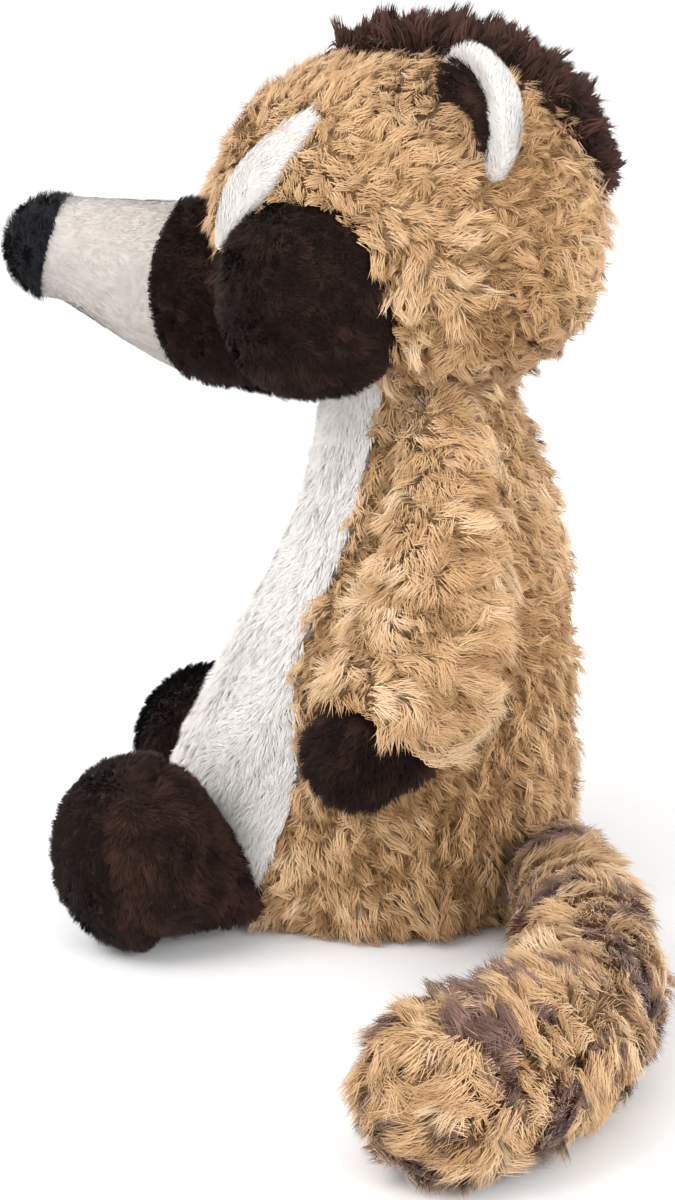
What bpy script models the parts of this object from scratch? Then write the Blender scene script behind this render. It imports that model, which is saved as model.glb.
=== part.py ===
"""A sitting plush coati, sewn from pile fabric and stuffed.

The toy sits on its flat seat and looks along -Y, with its left side at +X and +Z up. The origin is the
centre of the seat. Every soft piece is the closed outer form of its pile. Pieces that meet keep a small gap.
"""

import math

import bmesh
import bpy
import numpy as np
from mathutils import Vector

MM = 0.001

# Clearance between pieces that meet, and mesh fineness
GAP = 0.3 * MM
AROUND = 22
TUBE_AROUND = 16
ALONG = 11
CUTTER_PROUD = 4 * MM

# Torso, as a pear with a flat seat
SEAT_SHARE = 0.83
SEAT_ROUNDING = 30 * MM
HIP_HEIGHT = 50 * MM
HIP_HALF_WIDTH = 74 * MM
HIP_FRONT = 88 * MM
HIP_BACK = 77 * MM
CHEST_HEIGHT = 150 * MM
CHEST_HALF_WIDTH = 55 * MM
CHEST_FRONT = 40 * MM
CHEST_BACK = 70 * MM
NECK_HEIGHT = 205 * MM
NECK_HALF_WIDTH = 42 * MM
NECK_FRONT = 26 * MM
NECK_BACK = 50 * MM
NECK_INSERT = 20 * MM

# White panel in the front of the torso: half its angle round the body at five heights
BELLY_DEPTH = 6 * MM
BELLY_BOTTOM = 4 * MM
BELLY_HALF_ANGLES = (58, 72, 56, 61, 76)
BELLY_ACROSS = 17

# Head, as a rounded egg on the torso
HEAD_CENTRE_Y = 8 * MM
HEAD_ABOVE_NECK = 63 * MM
HEAD_CENTRE_Z = NECK_HEIGHT + HEAD_ABOVE_NECK
HEAD_FRONT = 77 * MM
HEAD_BACK = 75 * MM
HEAD_HALF_WIDTH = 65 * MM
HEAD_UP = 69 * MM
HEAD_DOWN = 62 * MM
HEAD_SQUARENESS = 2.35

# Muzzle, from the nose back into the head
NOSE_REACH = 82 * MM
NOSE_TIP_Y = HEAD_CENTRE_Y - HEAD_FRONT - NOSE_REACH
NOSE_TIP_Z = HEAD_CENTRE_Z - 9 * MM
NOSE_ROUNDING = 22 * MM
NOSE_SEAM_Y = NOSE_TIP_Y + 20 * MM
NOSE_SEAM_TILT = math.radians(-14)
NOSE_HALF_WIDTH = 19 * MM
NOSE_HALF_HEIGHT = 21.5 * MM
SNOUT_SEAM_Y = NOSE_TIP_Y + 69 * MM
SNOUT_SEAM_BULGE = 8 * MM
SNOUT_HALF_WIDTH = 27 * MM
SNOUT_HALF_HEIGHT = 34.5 * MM
SNOUT_CENTRE_Z = HEAD_CENTRE_Z - 23 * MM
MASK_BACK_Y = NOSE_TIP_Y + 111 * MM
MASK_HALF_WIDTH = 33 * MM
MASK_HALF_HEIGHT = 42 * MM
MASK_CENTRE_Z = HEAD_CENTRE_Z - 24 * MM

# Eye patches, bulging from the sides of the face
PATCH_OFFSET = 43 * MM
PATCH_Y = HEAD_CENTRE_Y - 31.5 * MM
PATCH_Z = HEAD_CENTRE_Z - 18 * MM
PATCH_HALF_WIDTH = 30 * MM
PATCH_HALF_LENGTH = 36 * MM
PATCH_HALF_HEIGHT = 39 * MM
PATCH_SQUARENESS = 2.2
EYE_RADIUS = 6 * MM
EYE_THICKNESS = 7 * MM
EYE_DIRECTION = (-0.3, -0.93, 0.2)

# Fabric strips that lie in or on the head
STRIPE_DEPTH = 4 * MM
STRIPE_PROUD = 0.8 * MM
STRIPE_HALF_WIDTH = 9.5 * MM
STRIPE_SHARES = ((0.54, -0.90, -0.03), (0.65, -0.81, 0.20), (0.72, -0.65, 0.43), (0.71, -0.41, 0.69))
STRIPE_TIP_SHARE = 0.06
STRIPE_END_SHARE = 0.86
STRIPE_BULGE = 0.7
CHIN_DEPTH = 4 * MM
CHIN_PROUD = 1.5 * MM
CHIN_HALF_WIDTH = 27 * MM
CHIN_FRONT_ANGLE = 228
CHIN_BACK_ANGLE = 262
CHIN_BACK_SHARE = 0.75
MANE_HEIGHT = 16.5 * MM
MANE_EDGE_HEIGHT = 0.5 * MM
MANE_BACK_SHARE = 0.25
MANE_HALF_WIDTH = 20 * MM
MANE_FRONT_ANGLE = 112
MANE_BACK_ANGLE = 14
MANE_TUFTS = 8
MANE_TUFT_SHARE = 0.16

# Ears, as cupped flaps that open forwards and outwards
EAR_OFFSET = 53 * MM
EAR_Y = HEAD_CENTRE_Y + 27 * MM
EAR_Z = HEAD_CENTRE_Z + 48 * MM
EAR_HALF_WIDTH = 22 * MM
EAR_HALF_HEIGHT = 27 * MM
EAR_THICKNESS = 12 * MM
EAR_CUP = 9 * MM
EAR_LEAN = math.radians(20)
EAR_TURN = math.radians(38)
LINING_THICKNESS = 2 * MM
LINING_SHARE = 0.7
LINING_SHIFT = 5 * MM

# Arms, hanging at the sides, with the paw as the end of the tube
ARM_LINE = ((44, 24, 203), (62, 27, 165), (76, 23, 128), (83, 10, 100), (85, -3, 84))
ARM_HALF_THICKNESSES = (13, 17, 20, 21, 18)
ARM_HALF_DEPTHS = (14, 21, 28, 27, 21)
PAW_SEAM_SHARE = 0.75

# Legs, stretched forwards on the floor, and the round feet at their ends
FOOT_HALF_WIDTH = 34 * MM
FOOT_FRONT = 36 * MM
FOOT_BACK = 10 * MM
FOOT_HALF_HEIGHT = 38.5 * MM
FOOT_SQUARENESS = 2.15
LEFT_FOOT_X = 76 * MM
LEFT_FOOT_Y = -85 * MM
RIGHT_FOOT_X = -35 * MM
RIGHT_FOOT_Y = -76 * MM
LEG_HALF_WIDTH = 33 * MM
LEG_HALF_HEIGHT = 37 * MM
HIP_OFFSET = 50 * MM
HIP_JOIN_Y = -48 * MM
HIP_JOIN_Z = 13 * MM
HIP_JOIN_HALF_WIDTH = 18 * MM
HIP_JOIN_HALF_HEIGHT = 8 * MM

# Tail, curled on the floor towards the left side
TAIL_LINE = ((0, 52), (30, 69), (72, 79), (112, 84), (150, 86), (184, 80), (212, 63), (232, 43))
TAIL_HALF_WIDTHS = (17, 20, 23, 25, 26, 27, 29, 29)

# Fabric colours, with the roughness that their pile gives
FABRICS = {
    "tan_plush": ((0.56, 0.35, 0.17), 0.95),
    "white_plush": ((0.82, 0.79, 0.76), 0.95),
    "cream_velboa": ((0.76, 0.69, 0.61), 0.9),
    "brown_velboa": ((0.045, 0.024, 0.018), 0.9),
    "black_velboa": ((0.012, 0.012, 0.016), 0.85),
    "mane_plush": ((0.06, 0.03, 0.022), 0.9),
    "tail_plush": ((0.38, 0.24, 0.14), 0.95),
    "eye_plastic": ((0.006, 0.005, 0.005), 0.12),
}


def clear_scene():
    """Remove every object, so that the script can be run again."""
    for thing in list(bpy.data.objects):
        bpy.data.objects.remove(thing, do_unlink=True)


def fabric(name):
    """A plain material for one fabric or plastic, made once."""
    material = bpy.data.materials.get(name)
    if material is None:
        colour, roughness = FABRICS[name]
        material = bpy.data.materials.new(name)
        material.use_nodes = True
        shader = material.node_tree.nodes["Principled BSDF"]
        shader.inputs["Base Color"].default_value = (*colour, 1.0)
        shader.inputs["Roughness"].default_value = roughness
        shader.inputs["Metallic"].default_value = 0.0
        material.diffuse_color = (*colour, 1.0)
    return material


def through(stations, count):
    """Points of a smooth curve through the stations: each cubic also looks at the stations next to it."""
    rows = np.asarray(stations, float)
    padded = np.vstack([2 * rows[0] - rows[1], rows, 2 * rows[-1] - rows[-2]])
    place = np.linspace(0, len(rows) - 1, count)
    cell = np.minimum(place.astype(int), len(rows) - 2)
    t = (place - cell)[:, None]
    a, b, c, d = padded[cell], padded[cell + 1], padded[cell + 2], padded[cell + 3]
    bend = 2 * a - 5 * b + 4 * c - d
    twist = 3 * b - a - 3 * c + d
    return 0.5 * (2 * b + (c - a) * t + bend * t**2 + twist * t**3)


def unit(vectors):
    """Vectors scaled to length 1."""
    vectors = np.asarray(vectors, float)
    return vectors / np.linalg.norm(vectors, axis=-1, keepdims=True)


def solid(name, rings, material, start=None, end=None):
    """One closed object from rings of points, closed at each end by a point or by a flat face.

    The faces are triangles, split the same way in a piece and in its grown cutter, so the gap stays even.
    """
    rings = np.asarray(rings, float)
    count, around = rings.shape[:2]
    shape = bmesh.new()
    loops = [[shape.verts.new(point) for point in ring] for ring in rings]
    for first, second in zip(loops, loops[1:]):
        for i in range(around):
            j = (i + 1) % around
            shape.faces.new((first[i], first[j], second[j]))
            shape.faces.new((first[i], second[j], second[i]))
    for loop, tip in ((loops[0], start), (loops[-1], end)):
        if tip is None:
            shape.faces.new(loop)
            continue
        corner = shape.verts.new(tip)
        for i in range(around):
            shape.faces.new((corner, loop[i], loop[(i + 1) % around]))
    bmesh.ops.recalc_face_normals(shape, faces=shape.faces)
    mesh = bpy.data.meshes.new(name)
    shape.to_mesh(mesh)
    shape.free()
    mesh.shade_smooth()
    mesh.set_sharp_from_angle(angle=math.radians(50))
    mesh.materials.append(fabric(material))
    thing = bpy.data.objects.new(name, mesh)
    bpy.context.scene.collection.objects.link(thing)
    return thing


def guide(thing):
    """Mark an object as a cutter, which is no piece of the toy."""
    thing.hide_render = True
    thing.display_type = "WIRE"
    return thing


def cut(piece, *cutters, solver="EXACT"):
    """Cut the forms of the cutters out of a piece."""
    for cutter in cutters:
        modifier = piece.modifiers.new("cut_" + cutter.name, "BOOLEAN")
        modifier.operation = "DIFFERENCE"
        modifier.solver = solver
        modifier.object = cutter
    return piece


def keep_side(piece, point, normal):
    """Slice a closed piece with a plane, and keep the side that the normal points away from."""
    shape = bmesh.new()
    shape.from_mesh(piece.data)
    everything = shape.verts[:] + shape.edges[:] + shape.faces[:]
    bmesh.ops.bisect_plane(
        shape, geom=everything, plane_co=Vector(point), plane_no=Vector(normal), clear_outer=True
    )
    rim = [edge for edge in shape.edges if edge.is_boundary]
    bmesh.ops.edgeloop_fill(shape, edges=rim)
    bmesh.ops.recalc_face_normals(shape, faces=shape.faces)
    shape.to_mesh(piece.data)
    shape.free()
    piece.data.set_sharp_from_angle(angle=math.radians(50))
    return piece


# Forms

def egg_points(directions, centre, front, back, side, up, down, squareness, grow):
    """Where rays from the centre meet a rounded egg.

    On it, the sum of the powers of x, y and z, each over its half size, is 1.
    """
    d = unit(directions)
    half = np.stack([
        np.full(d.shape[:-1], side + grow),
        np.where(d[..., 1] < 0, front, back) + grow,
        np.where(d[..., 2] > 0, up, down) + grow,
    ], axis=-1)
    reach = np.sum(np.abs(d / half) ** squareness, axis=-1) ** (-1 / squareness)
    return np.asarray(centre) + d * reach[..., None]


def egg_solid(name, material, **egg):
    """A whole egg as a closed object, with its poles above and below."""
    polar = np.linspace(0, math.pi, ALONG + 2)[1:-1, None]
    turn = np.linspace(0, 2 * math.pi, AROUND, endpoint=False)[None, :]
    directions = np.stack([
        np.sin(polar) * np.cos(turn),
        np.sin(polar) * np.sin(turn),
        np.cos(polar) + 0 * turn,
    ], axis=-1)
    top, bottom = egg_points(np.array([(0, 0, 1.0), (0, 0, -1.0)]), **egg)
    return solid(name, egg_points(directions, **egg), material, start=top, end=bottom)


def tube_rings(line, half_widths, half_heights, sideways, grow=0.0, count=9, ends=(True, True)):
    """Oval rings along a curved line. An end that is rounded closes along a quarter of an ellipse."""
    stations = np.column_stack([line, half_widths, half_heights])
    smooth = through(stations, count)
    centres, wide, high = smooth[:, :3], smooth[:, 3] + grow, smooth[:, 4] + grow
    along = unit(np.gradient(centres, axis=0))
    across = unit(np.cross(along, np.cross(np.asarray(sideways, float), along)))
    upward = np.cross(along, across)
    turn = np.linspace(0, 2 * math.pi, TUBE_AROUND, endpoint=False)
    closing = np.radians((66, 44, 22))
    parts = []
    tips = [None, None]
    for end, sign in ((0, -1), (-1, 1)):
        reach = (wide[end] + high[end]) / 2
        steps = [(sign * reach * math.sin(a), math.cos(a)) for a in closing[::-sign]]
        if not ends[end]:
            parts.append(np.zeros((0, TUBE_AROUND, 3)))
            continue
        tips[end] = centres[end] + sign * reach * along[end]
        parts.append(np.array([
            centres[end] + out * along[end]
            + np.outer(np.cos(turn) * wide[end] * share, across[end])
            + np.outer(np.sin(turn) * high[end] * share, upward[end])
            for out, share in steps
        ]))
    body = (
        centres[:, None]
        + np.cos(turn)[None, :, None] * wide[:, None, None] * across[:, None]
        + np.sin(turn)[None, :, None] * high[:, None, None] * upward[:, None]
    )
    return np.concatenate([parts[0], body, parts[1]]), tips


def slab_rings(outer, inner):
    """Rings round a curved strip: across its outer face and back across its inner face."""
    return np.concatenate([outer, inner[:, ::-1]], axis=1)


# Torso and belly

def torso_section(height):
    """Centre, half depth and half width of the torso at each height, rounded down to the flat seat."""
    top = NECK_HEIGHT + NECK_INSERT
    stations = (
        (0.0, -HIP_FRONT, HIP_BACK, HIP_HALF_WIDTH),
        (HIP_HEIGHT, -HIP_FRONT, HIP_BACK, HIP_HALF_WIDTH),
        (CHEST_HEIGHT, -CHEST_FRONT, CHEST_BACK, CHEST_HALF_WIDTH),
        (NECK_HEIGHT, -NECK_FRONT, NECK_BACK, NECK_HALF_WIDTH),
        (top, -NECK_FRONT, NECK_BACK, NECK_HALF_WIDTH),
    )
    curve = through(stations, 200)
    front, back, width = (np.interp(height, curve[:, 0], curve[:, i]) for i in (1, 2, 3))
    low = np.clip(1 - np.asarray(height) / SEAT_ROUNDING, 0, 1)
    share = SEAT_SHARE + (1 - SEAT_SHARE) * np.sqrt(1 - low**2)
    return (front + back) / 2 * share, (back - front) / 2 * share, width * share


def torso_points(height, angle, grow=0.0):
    """Points of the torso's surface at a height and an angle round it, where 270 degrees is the front."""
    centre, depth, width = torso_section(np.clip(height, 0, None))
    x = (width + grow) * np.cos(angle)
    y = centre + (depth + grow) * np.sin(angle)
    return np.stack(np.broadcast_arrays(x, y, height), axis=-1)


def torso_heights(grow):
    """Ring heights from the seat to the top of the neck, closer together where the seat is rounded."""
    low = SEAT_ROUNDING * (1 - np.cos(np.linspace(0, math.pi / 2, 7)))
    high = np.linspace(SEAT_ROUNDING, NECK_HEIGHT + NECK_INSERT, ALONG)[1:]
    heights = np.concatenate([low, high])
    heights[0] -= grow
    heights[-1] += grow
    return heights


def torso_solid(name, grow=0.0):
    """The whole pear of the torso."""
    turn = np.linspace(0, 2 * math.pi, AROUND, endpoint=False)
    rings = torso_points(torso_heights(grow)[:, None], turn[None, :], grow)
    return solid(name, rings, "tan_plush")


def belly_solid(name, grow=0.0, proud=0.0):
    """The white front panel, as a curved strip that follows the torso."""
    top = NECK_HEIGHT + NECK_INSERT - GAP
    levels = np.array([(angle,) for angle in BELLY_HALF_ANGLES], float)
    half = np.radians(through(levels, ALONG)[:, :1])
    height = np.linspace(BELLY_BOTTOM, top, ALONG)[:, None]
    height[0] -= grow
    height[-1] += grow
    share = np.linspace(-1, 1, BELLY_ACROSS)[None, :]
    angle = 1.5 * math.pi + share * (half + 2 * grow / torso_section(height)[2])
    outer = torso_points(height, angle, proud)
    inner = torso_points(height, angle, -BELLY_DEPTH - grow)
    return solid(name, slab_rings(outer, inner), "white_plush")


# Head and face

def head_egg(grow=0.0):
    """The sizes of the head's egg."""
    return {
        "centre": (0.0, HEAD_CENTRE_Y, HEAD_CENTRE_Z), "front": HEAD_FRONT, "back": HEAD_BACK,
        "side": HEAD_HALF_WIDTH, "up": HEAD_UP, "down": HEAD_DOWN,
        "squareness": HEAD_SQUARENESS, "grow": grow,
    }


def patch_egg(side, grow=0.0):
    """The sizes of one eye patch's egg."""
    return {
        "centre": (side * PATCH_OFFSET, PATCH_Y, PATCH_Z), "front": PATCH_HALF_LENGTH,
        "back": PATCH_HALF_LENGTH, "side": PATCH_HALF_WIDTH, "up": PATCH_HALF_HEIGHT,
        "down": PATCH_HALF_HEIGHT, "squareness": PATCH_SQUARENESS, "grow": grow,
    }


def muzzle_profile():
    """Place along Y, centre height, half width and half height of the muzzle, from its round tip back."""
    nose_back = NOSE_TIP_Y + NOSE_ROUNDING
    stations = (
        (nose_back, NOSE_TIP_Z, NOSE_HALF_WIDTH, NOSE_HALF_HEIGHT),
        (SNOUT_SEAM_Y, SNOUT_CENTRE_Z, SNOUT_HALF_WIDTH, SNOUT_HALF_HEIGHT),
        (MASK_BACK_Y, MASK_CENTRE_Z, MASK_HALF_WIDTH, MASK_HALF_HEIGHT),
    )
    angle = np.radians((90, 72, 54, 36, 18))
    tip = np.column_stack([
        nose_back - NOSE_ROUNDING * np.sin(angle),
        np.full(len(angle), NOSE_TIP_Z),
        NOSE_HALF_WIDTH * np.cos(angle),
        NOSE_HALF_HEIGHT * np.cos(angle),
    ])
    return np.concatenate([tip, through(stations, ALONG)])


def muzzle_rings(places, grow=0.0):
    """Ovals of the muzzle at places along Y. At the sides they bend forwards, most at the snout's seam."""
    y, z, wide, high = muzzle_profile().T
    turn = np.linspace(0, 2 * math.pi, AROUND, endpoint=False)
    bend = np.interp(places, (NOSE_SEAM_Y, SNOUT_SEAM_Y, MASK_BACK_Y), (0, SNOUT_SEAM_BULGE, 0))
    place = np.asarray(places)[:, None] - bend[:, None] * np.cos(turn) ** 2
    z, wide, high = (np.interp(place, y, values) for values in (z, wide, high))
    return np.stack([
        np.cos(turn) * (wide + grow),
        place,
        z + np.sin(turn) * (high + grow),
    ], axis=-1)


def muzzle_solid(name, material, grow=0.0):
    """The whole tapered muzzle, from the rounded nose to its back end inside the head."""
    rings = muzzle_rings(muzzle_profile()[1:, 0], grow)
    rings[-1, :, 1] += grow
    return solid(name, rings, material, start=(0.0, NOSE_TIP_Y - grow, NOSE_TIP_Z))


def nose_seam(ahead):
    """The plane of the seam behind the nose, moved ahead by a distance."""
    normal = np.array((0.0, -math.cos(NOSE_SEAM_TILT), -math.sin(NOSE_SEAM_TILT)))
    return np.array((0.0, NOSE_SEAM_Y, NOSE_TIP_Z)) + normal * ahead, normal


def muzzle_pieces(by):
    """Nose, snout and mask band: one muzzle form, parted at its two seams. The cutters come by name."""
    nose = muzzle_solid("nose", "black_velboa")
    point, normal = nose_seam(GAP / 2)
    keep_side(nose, point, -normal)
    places = muzzle_profile()[1:, 0]
    end, start = SNOUT_SEAM_Y - GAP / 2, SNOUT_SEAM_Y + GAP / 2
    front = np.append(places[places < end - GAP], end)
    snout = solid(
        "snout", muzzle_rings(front), "cream_velboa",
        start=(0.0, NOSE_TIP_Y, NOSE_TIP_Z), end=(0.0, end, SNOUT_CENTRE_Z),
    )
    point, normal = nose_seam(-GAP / 2)
    keep_side(snout, point, normal)
    back = np.insert(places[places > start + GAP], 0, start)
    band = solid("mask_band", muzzle_rings(back), "brown_velboa", start=(0.0, start, SNOUT_CENTRE_Z))
    cut(band, *(by[name] for name in ("patch_left", "patch_right", "eye_left", "eye_right")))


def on_head(directions, offset):
    """Points of the head's surface in some directions, moved outwards by an offset."""
    points = egg_points(directions, **head_egg())
    return points + unit(directions) * np.asarray(offset)[..., None]


def stripe_solid(name, side, grow=0.0, proud=STRIPE_PROUD):
    """A white brow stripe: a strip that follows the head, from a point at the eye to a blunt end above."""
    centre = np.array((0.0, HEAD_CENTRE_Y, HEAD_CENTRE_Z))
    count = 10
    sizes = (side * HEAD_HALF_WIDTH, HEAD_FRONT, HEAD_UP)
    line = centre + through(STRIPE_SHARES, count) * sizes
    along = unit(np.gradient(line, axis=0))
    outward = unit(line - centre)
    across = unit(np.cross(along, outward))
    bulge = np.sin(math.pi * np.linspace(STRIPE_TIP_SHARE, STRIPE_END_SHARE, count)) ** STRIPE_BULGE
    half = STRIPE_HALF_WIDTH * bulge + grow
    line[0] -= along[0] * grow
    line[-1] += along[-1] * grow
    spread = np.linspace(-1, 1, 5)
    directions = line[:, None] + across[:, None] * (half[:, None] * spread)[..., None] - centre
    outer = on_head(directions, np.full(directions.shape[:-1], proud))
    inner = on_head(directions, np.full(directions.shape[:-1], -STRIPE_DEPTH - grow))
    return solid(name, slab_rings(outer, inner), "white_plush")


def midline(angles_deg):
    """Directions from the head's centre in the middle plane, where 90 degrees is up and 180 is forwards."""
    angle = np.radians(angles_deg)
    return np.stack([0 * angle, np.cos(angle), np.sin(angle)], axis=-1)


def chin_solid(name, grow=0.0, proud=CHIN_PROUD):
    """The dark piece under the chin, in the middle of the head's underside."""
    count = 9
    spread = math.degrees(grow / HEAD_DOWN)
    angles = np.linspace(CHIN_FRONT_ANGLE - spread, CHIN_BACK_ANGLE + spread, count)
    directions = midline(angles)
    half = (CHIN_HALF_WIDTH * np.linspace(1.0, CHIN_BACK_SHARE, count) + grow) / HEAD_DOWN
    across = half[:, None] * np.linspace(-1, 1, 8)
    directions = directions[:, None] + across[..., None] * np.array((1.0, 0, 0))
    outer = on_head(directions, np.full(directions.shape[:-1], proud))
    inner = on_head(directions, np.full(directions.shape[:-1], -CHIN_DEPTH - grow))
    return solid(name, slab_rings(outer, inner), "brown_velboa")


def mane_solid(name):
    """The crest of long pile along the middle of the head, with a wavy edge of tufts."""
    count = 3 * MANE_TUFTS + 1
    share = np.linspace(0, 1, count)
    directions = midline(np.linspace(MANE_FRONT_ANGLE, MANE_BACK_ANGLE, count))
    taper = np.sin(math.pi * (0.04 + 0.92 * share)) ** 0.55
    tufts = 1 - MANE_TUFT_SHARE * (1 + np.cos(2 * math.pi * MANE_TUFTS * share)) / 2
    spread = np.linspace(-1, 1, 5)
    half = MANE_HALF_WIDTH * taper / HEAD_UP
    directions = directions[:, None] + (half[:, None] * spread)[..., None] * np.array((1.0, 0, 0))
    crown = np.sqrt(1 - 0.92 * spread**2)
    lower = np.linspace(1, MANE_BACK_SHARE, count)
    height = GAP + (MANE_HEIGHT * taper * tufts * lower)[:, None] * crown + MANE_EDGE_HEIGHT
    outer = on_head(directions, height)
    inner = on_head(directions, np.full(height.shape, GAP))
    return solid(name, slab_rings(outer, inner), "mane_plush")


def eye_frame(side):
    """The place of an eye on its patch, and the direction it looks in."""
    direction = unit(np.array(EYE_DIRECTION) * (side, 1, 1))
    return egg_points(direction, **patch_egg(side)), direction


def eye_solid(name, side, grow=0.0):
    """A round domed eye that sits half sunk in its patch."""
    place, forward = eye_frame(side)
    across = unit(np.cross(forward, (0, 0, 1.0)))
    upward = np.cross(across, forward)
    polar = np.linspace(0, math.pi, 7)[1:-1, None]
    turn = np.linspace(0, 2 * math.pi, 12, endpoint=False)[None, :]
    round_part = np.cos(turn)[..., None] * across + np.sin(turn)[..., None] * upward
    flat = (EYE_RADIUS + grow) * np.sin(polar)[..., None] * round_part
    deep = (EYE_THICKNESS / 2 + grow) * np.cos(polar)[..., None] * forward
    tip = (EYE_THICKNESS / 2 + grow) * forward
    return solid(name, place + flat + deep, "eye_plastic", start=place + tip, end=place - tip)


# Ears

def ear_frame(side):
    """Centre of an ear, with the directions across it, up it and out of its opening."""
    up = np.array((side * math.sin(EAR_LEAN), 0.0, math.cos(EAR_LEAN)))
    opening = np.array((side * math.sin(EAR_TURN), -math.cos(EAR_TURN), 0.0))
    across = unit(np.cross(up, opening))
    opening = np.cross(across, up)
    return np.array((side * EAR_OFFSET, EAR_Y, EAR_Z)), across, up, opening


def ear_wall(share):
    """Half the thickness of the ear's wall, which closes to nothing at the rim."""
    return EAR_THICKNESS / 2 * np.sqrt(np.clip(1 - share**4, 0, 1))


def ear_sheet(side, share, turn, wall, offset, shift):
    """Points of the cupped sheet of an ear, deepest in the middle.

    They are moved towards the opening by a part of the ear's wall and an offset, and shifted across it.
    """
    centre, across, up, opening = ear_frame(side)
    sideways = EAR_HALF_WIDTH * share * np.cos(turn) - side * shift
    upwards = EAR_HALF_HEIGHT * share * np.sin(turn)
    out = np.hypot(sideways / EAR_HALF_WIDTH, upwards / EAR_HALF_HEIGHT)
    inward = EAR_CUP * (1 - out**2) - wall * ear_wall(out) - offset
    return (
        centre + sideways[..., None] * across + upwards[..., None] * up - inward[..., None] * opening
    )


def sheet_solid(name, side, shares, walls, offsets, material, shift=0.0):
    """A closed solid between a front and a rear face of the ear's sheet, closed in the middle of each."""
    turn = np.linspace(0, 2 * math.pi, 16, endpoint=False)[None, :]
    share = shares[:, None] + 0 * turn
    turn = turn + 0 * share
    face = ear_sheet(side, share, turn, walls[0], offsets[0](share), shift)
    rear = ear_sheet(side, share[:-1], turn[:-1], walls[1], offsets[1](share[:-1]), shift)
    middle = np.zeros(1)
    tips = [
        ear_sheet(side, middle, middle, wall, offset(middle), shift)[0]
        for wall, offset in zip(walls, offsets)
    ]
    return solid(name, np.concatenate([face, rear[::-1]]), material, start=tips[0], end=tips[1])


def ear_solid(name, side):
    """The white back of an ear, with its thick rounded rim."""
    shares = np.sin(np.linspace(0.25, math.pi / 2, 6))
    return sheet_solid(name, side, shares, (1, -1), (np.zeros_like, np.zeros_like), "white_plush")


def lining_solid(name, side):
    """The dark lining, a thin pad that lies in the cup, nearer to its inner edge."""
    shares = LINING_SHARE * np.sin(np.linspace(0.3, math.pi / 2, 5))

    def seat(share):
        return np.full_like(share, GAP)

    def pad(share):
        edge = np.clip(1 - (share / LINING_SHARE) ** 4, 0, 1)
        return GAP + LINING_THICKNESS * (0.25 + 0.75 * np.sqrt(edge))

    return sheet_solid(name, side, shares, (1, 1), (pad, seat), "brown_velboa", LINING_SHIFT)


# Limbs and tail

def arm_stations(side):
    """Middle line and half sizes of an arm, down to the tip of its paw."""
    line = np.array(ARM_LINE, float) * MM * (side, 1, 1)
    return line, np.array(ARM_HALF_THICKNESSES) * MM, np.array(ARM_HALF_DEPTHS) * MM


def arm_solid(name, side, material):
    """A whole arm with its paw: a tapered tube with round ends."""
    line, thick, deep = arm_stations(side)
    rings, tips = tube_rings(line, thick, deep, (1.0, 0, 0))
    return solid(name, rings, material, start=tips[0], end=tips[1])


def arm_pieces(side, suffix):
    """An arm and its paw, parted at the seam round the wrist."""
    line = through(arm_stations(side)[0], 101)
    seam = int(round(PAW_SEAM_SHARE * 100))
    point = line[seam]
    normal = unit(line[seam + 1] - line[seam - 1])
    arm = arm_solid("arm_" + suffix, side, "tan_plush")
    keep_side(arm, point - normal * GAP / 2, normal)
    paw = arm_solid("paw_" + suffix, side, "brown_velboa")
    keep_side(paw, point + normal * GAP / 2, -normal)
    return arm, paw


def foot_egg(side, grow=0.0):
    """The sizes of one foot's egg, resting on the floor."""
    x, y = (LEFT_FOOT_X, LEFT_FOOT_Y) if side > 0 else (RIGHT_FOOT_X, RIGHT_FOOT_Y)
    return {
        "centre": (x, y, FOOT_HALF_HEIGHT), "front": FOOT_FRONT, "back": FOOT_BACK,
        "side": FOOT_HALF_WIDTH, "up": FOOT_HALF_HEIGHT, "down": FOOT_HALF_HEIGHT,
        "squareness": FOOT_SQUARENESS, "grow": grow,
    }


def leg_solid(name, side):
    """A leg: a tube that tapers from behind the foot back to the seam at the hip."""
    x, y, _ = foot_egg(side)["centre"]
    hip = (side * HIP_OFFSET, HIP_JOIN_Y, HIP_JOIN_Z)
    knee = ((x + hip[0]) / 2, (y + hip[1]) / 2, (LEG_HALF_HEIGHT + HIP_JOIN_Z) / 2)
    wide = (LEG_HALF_WIDTH, (LEG_HALF_WIDTH + HIP_JOIN_HALF_WIDTH) / 2, HIP_JOIN_HALF_WIDTH)
    high = (LEG_HALF_HEIGHT, (LEG_HALF_HEIGHT + HIP_JOIN_HALF_HEIGHT) / 2, HIP_JOIN_HALF_HEIGHT)
    line = ((x, y, LEG_HALF_HEIGHT), knee, hip)
    rings, tips = tube_rings(line, wide, high, (1.0, 0, 0), count=6, ends=(False, True))
    return solid(name, rings, "brown_velboa", end=tips[1])


def tail_solid(name):
    """The tail: a fat curved tube that lies on the floor."""
    half = np.array(TAIL_HALF_WIDTHS) * MM
    line = np.column_stack([np.array(TAIL_LINE) * MM, half])
    rings, tips = tube_rings(line, half, half, (0, 1.0, 0), count=18)
    return solid(name, rings, "tail_plush", start=tips[0], end=tips[1])


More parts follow.
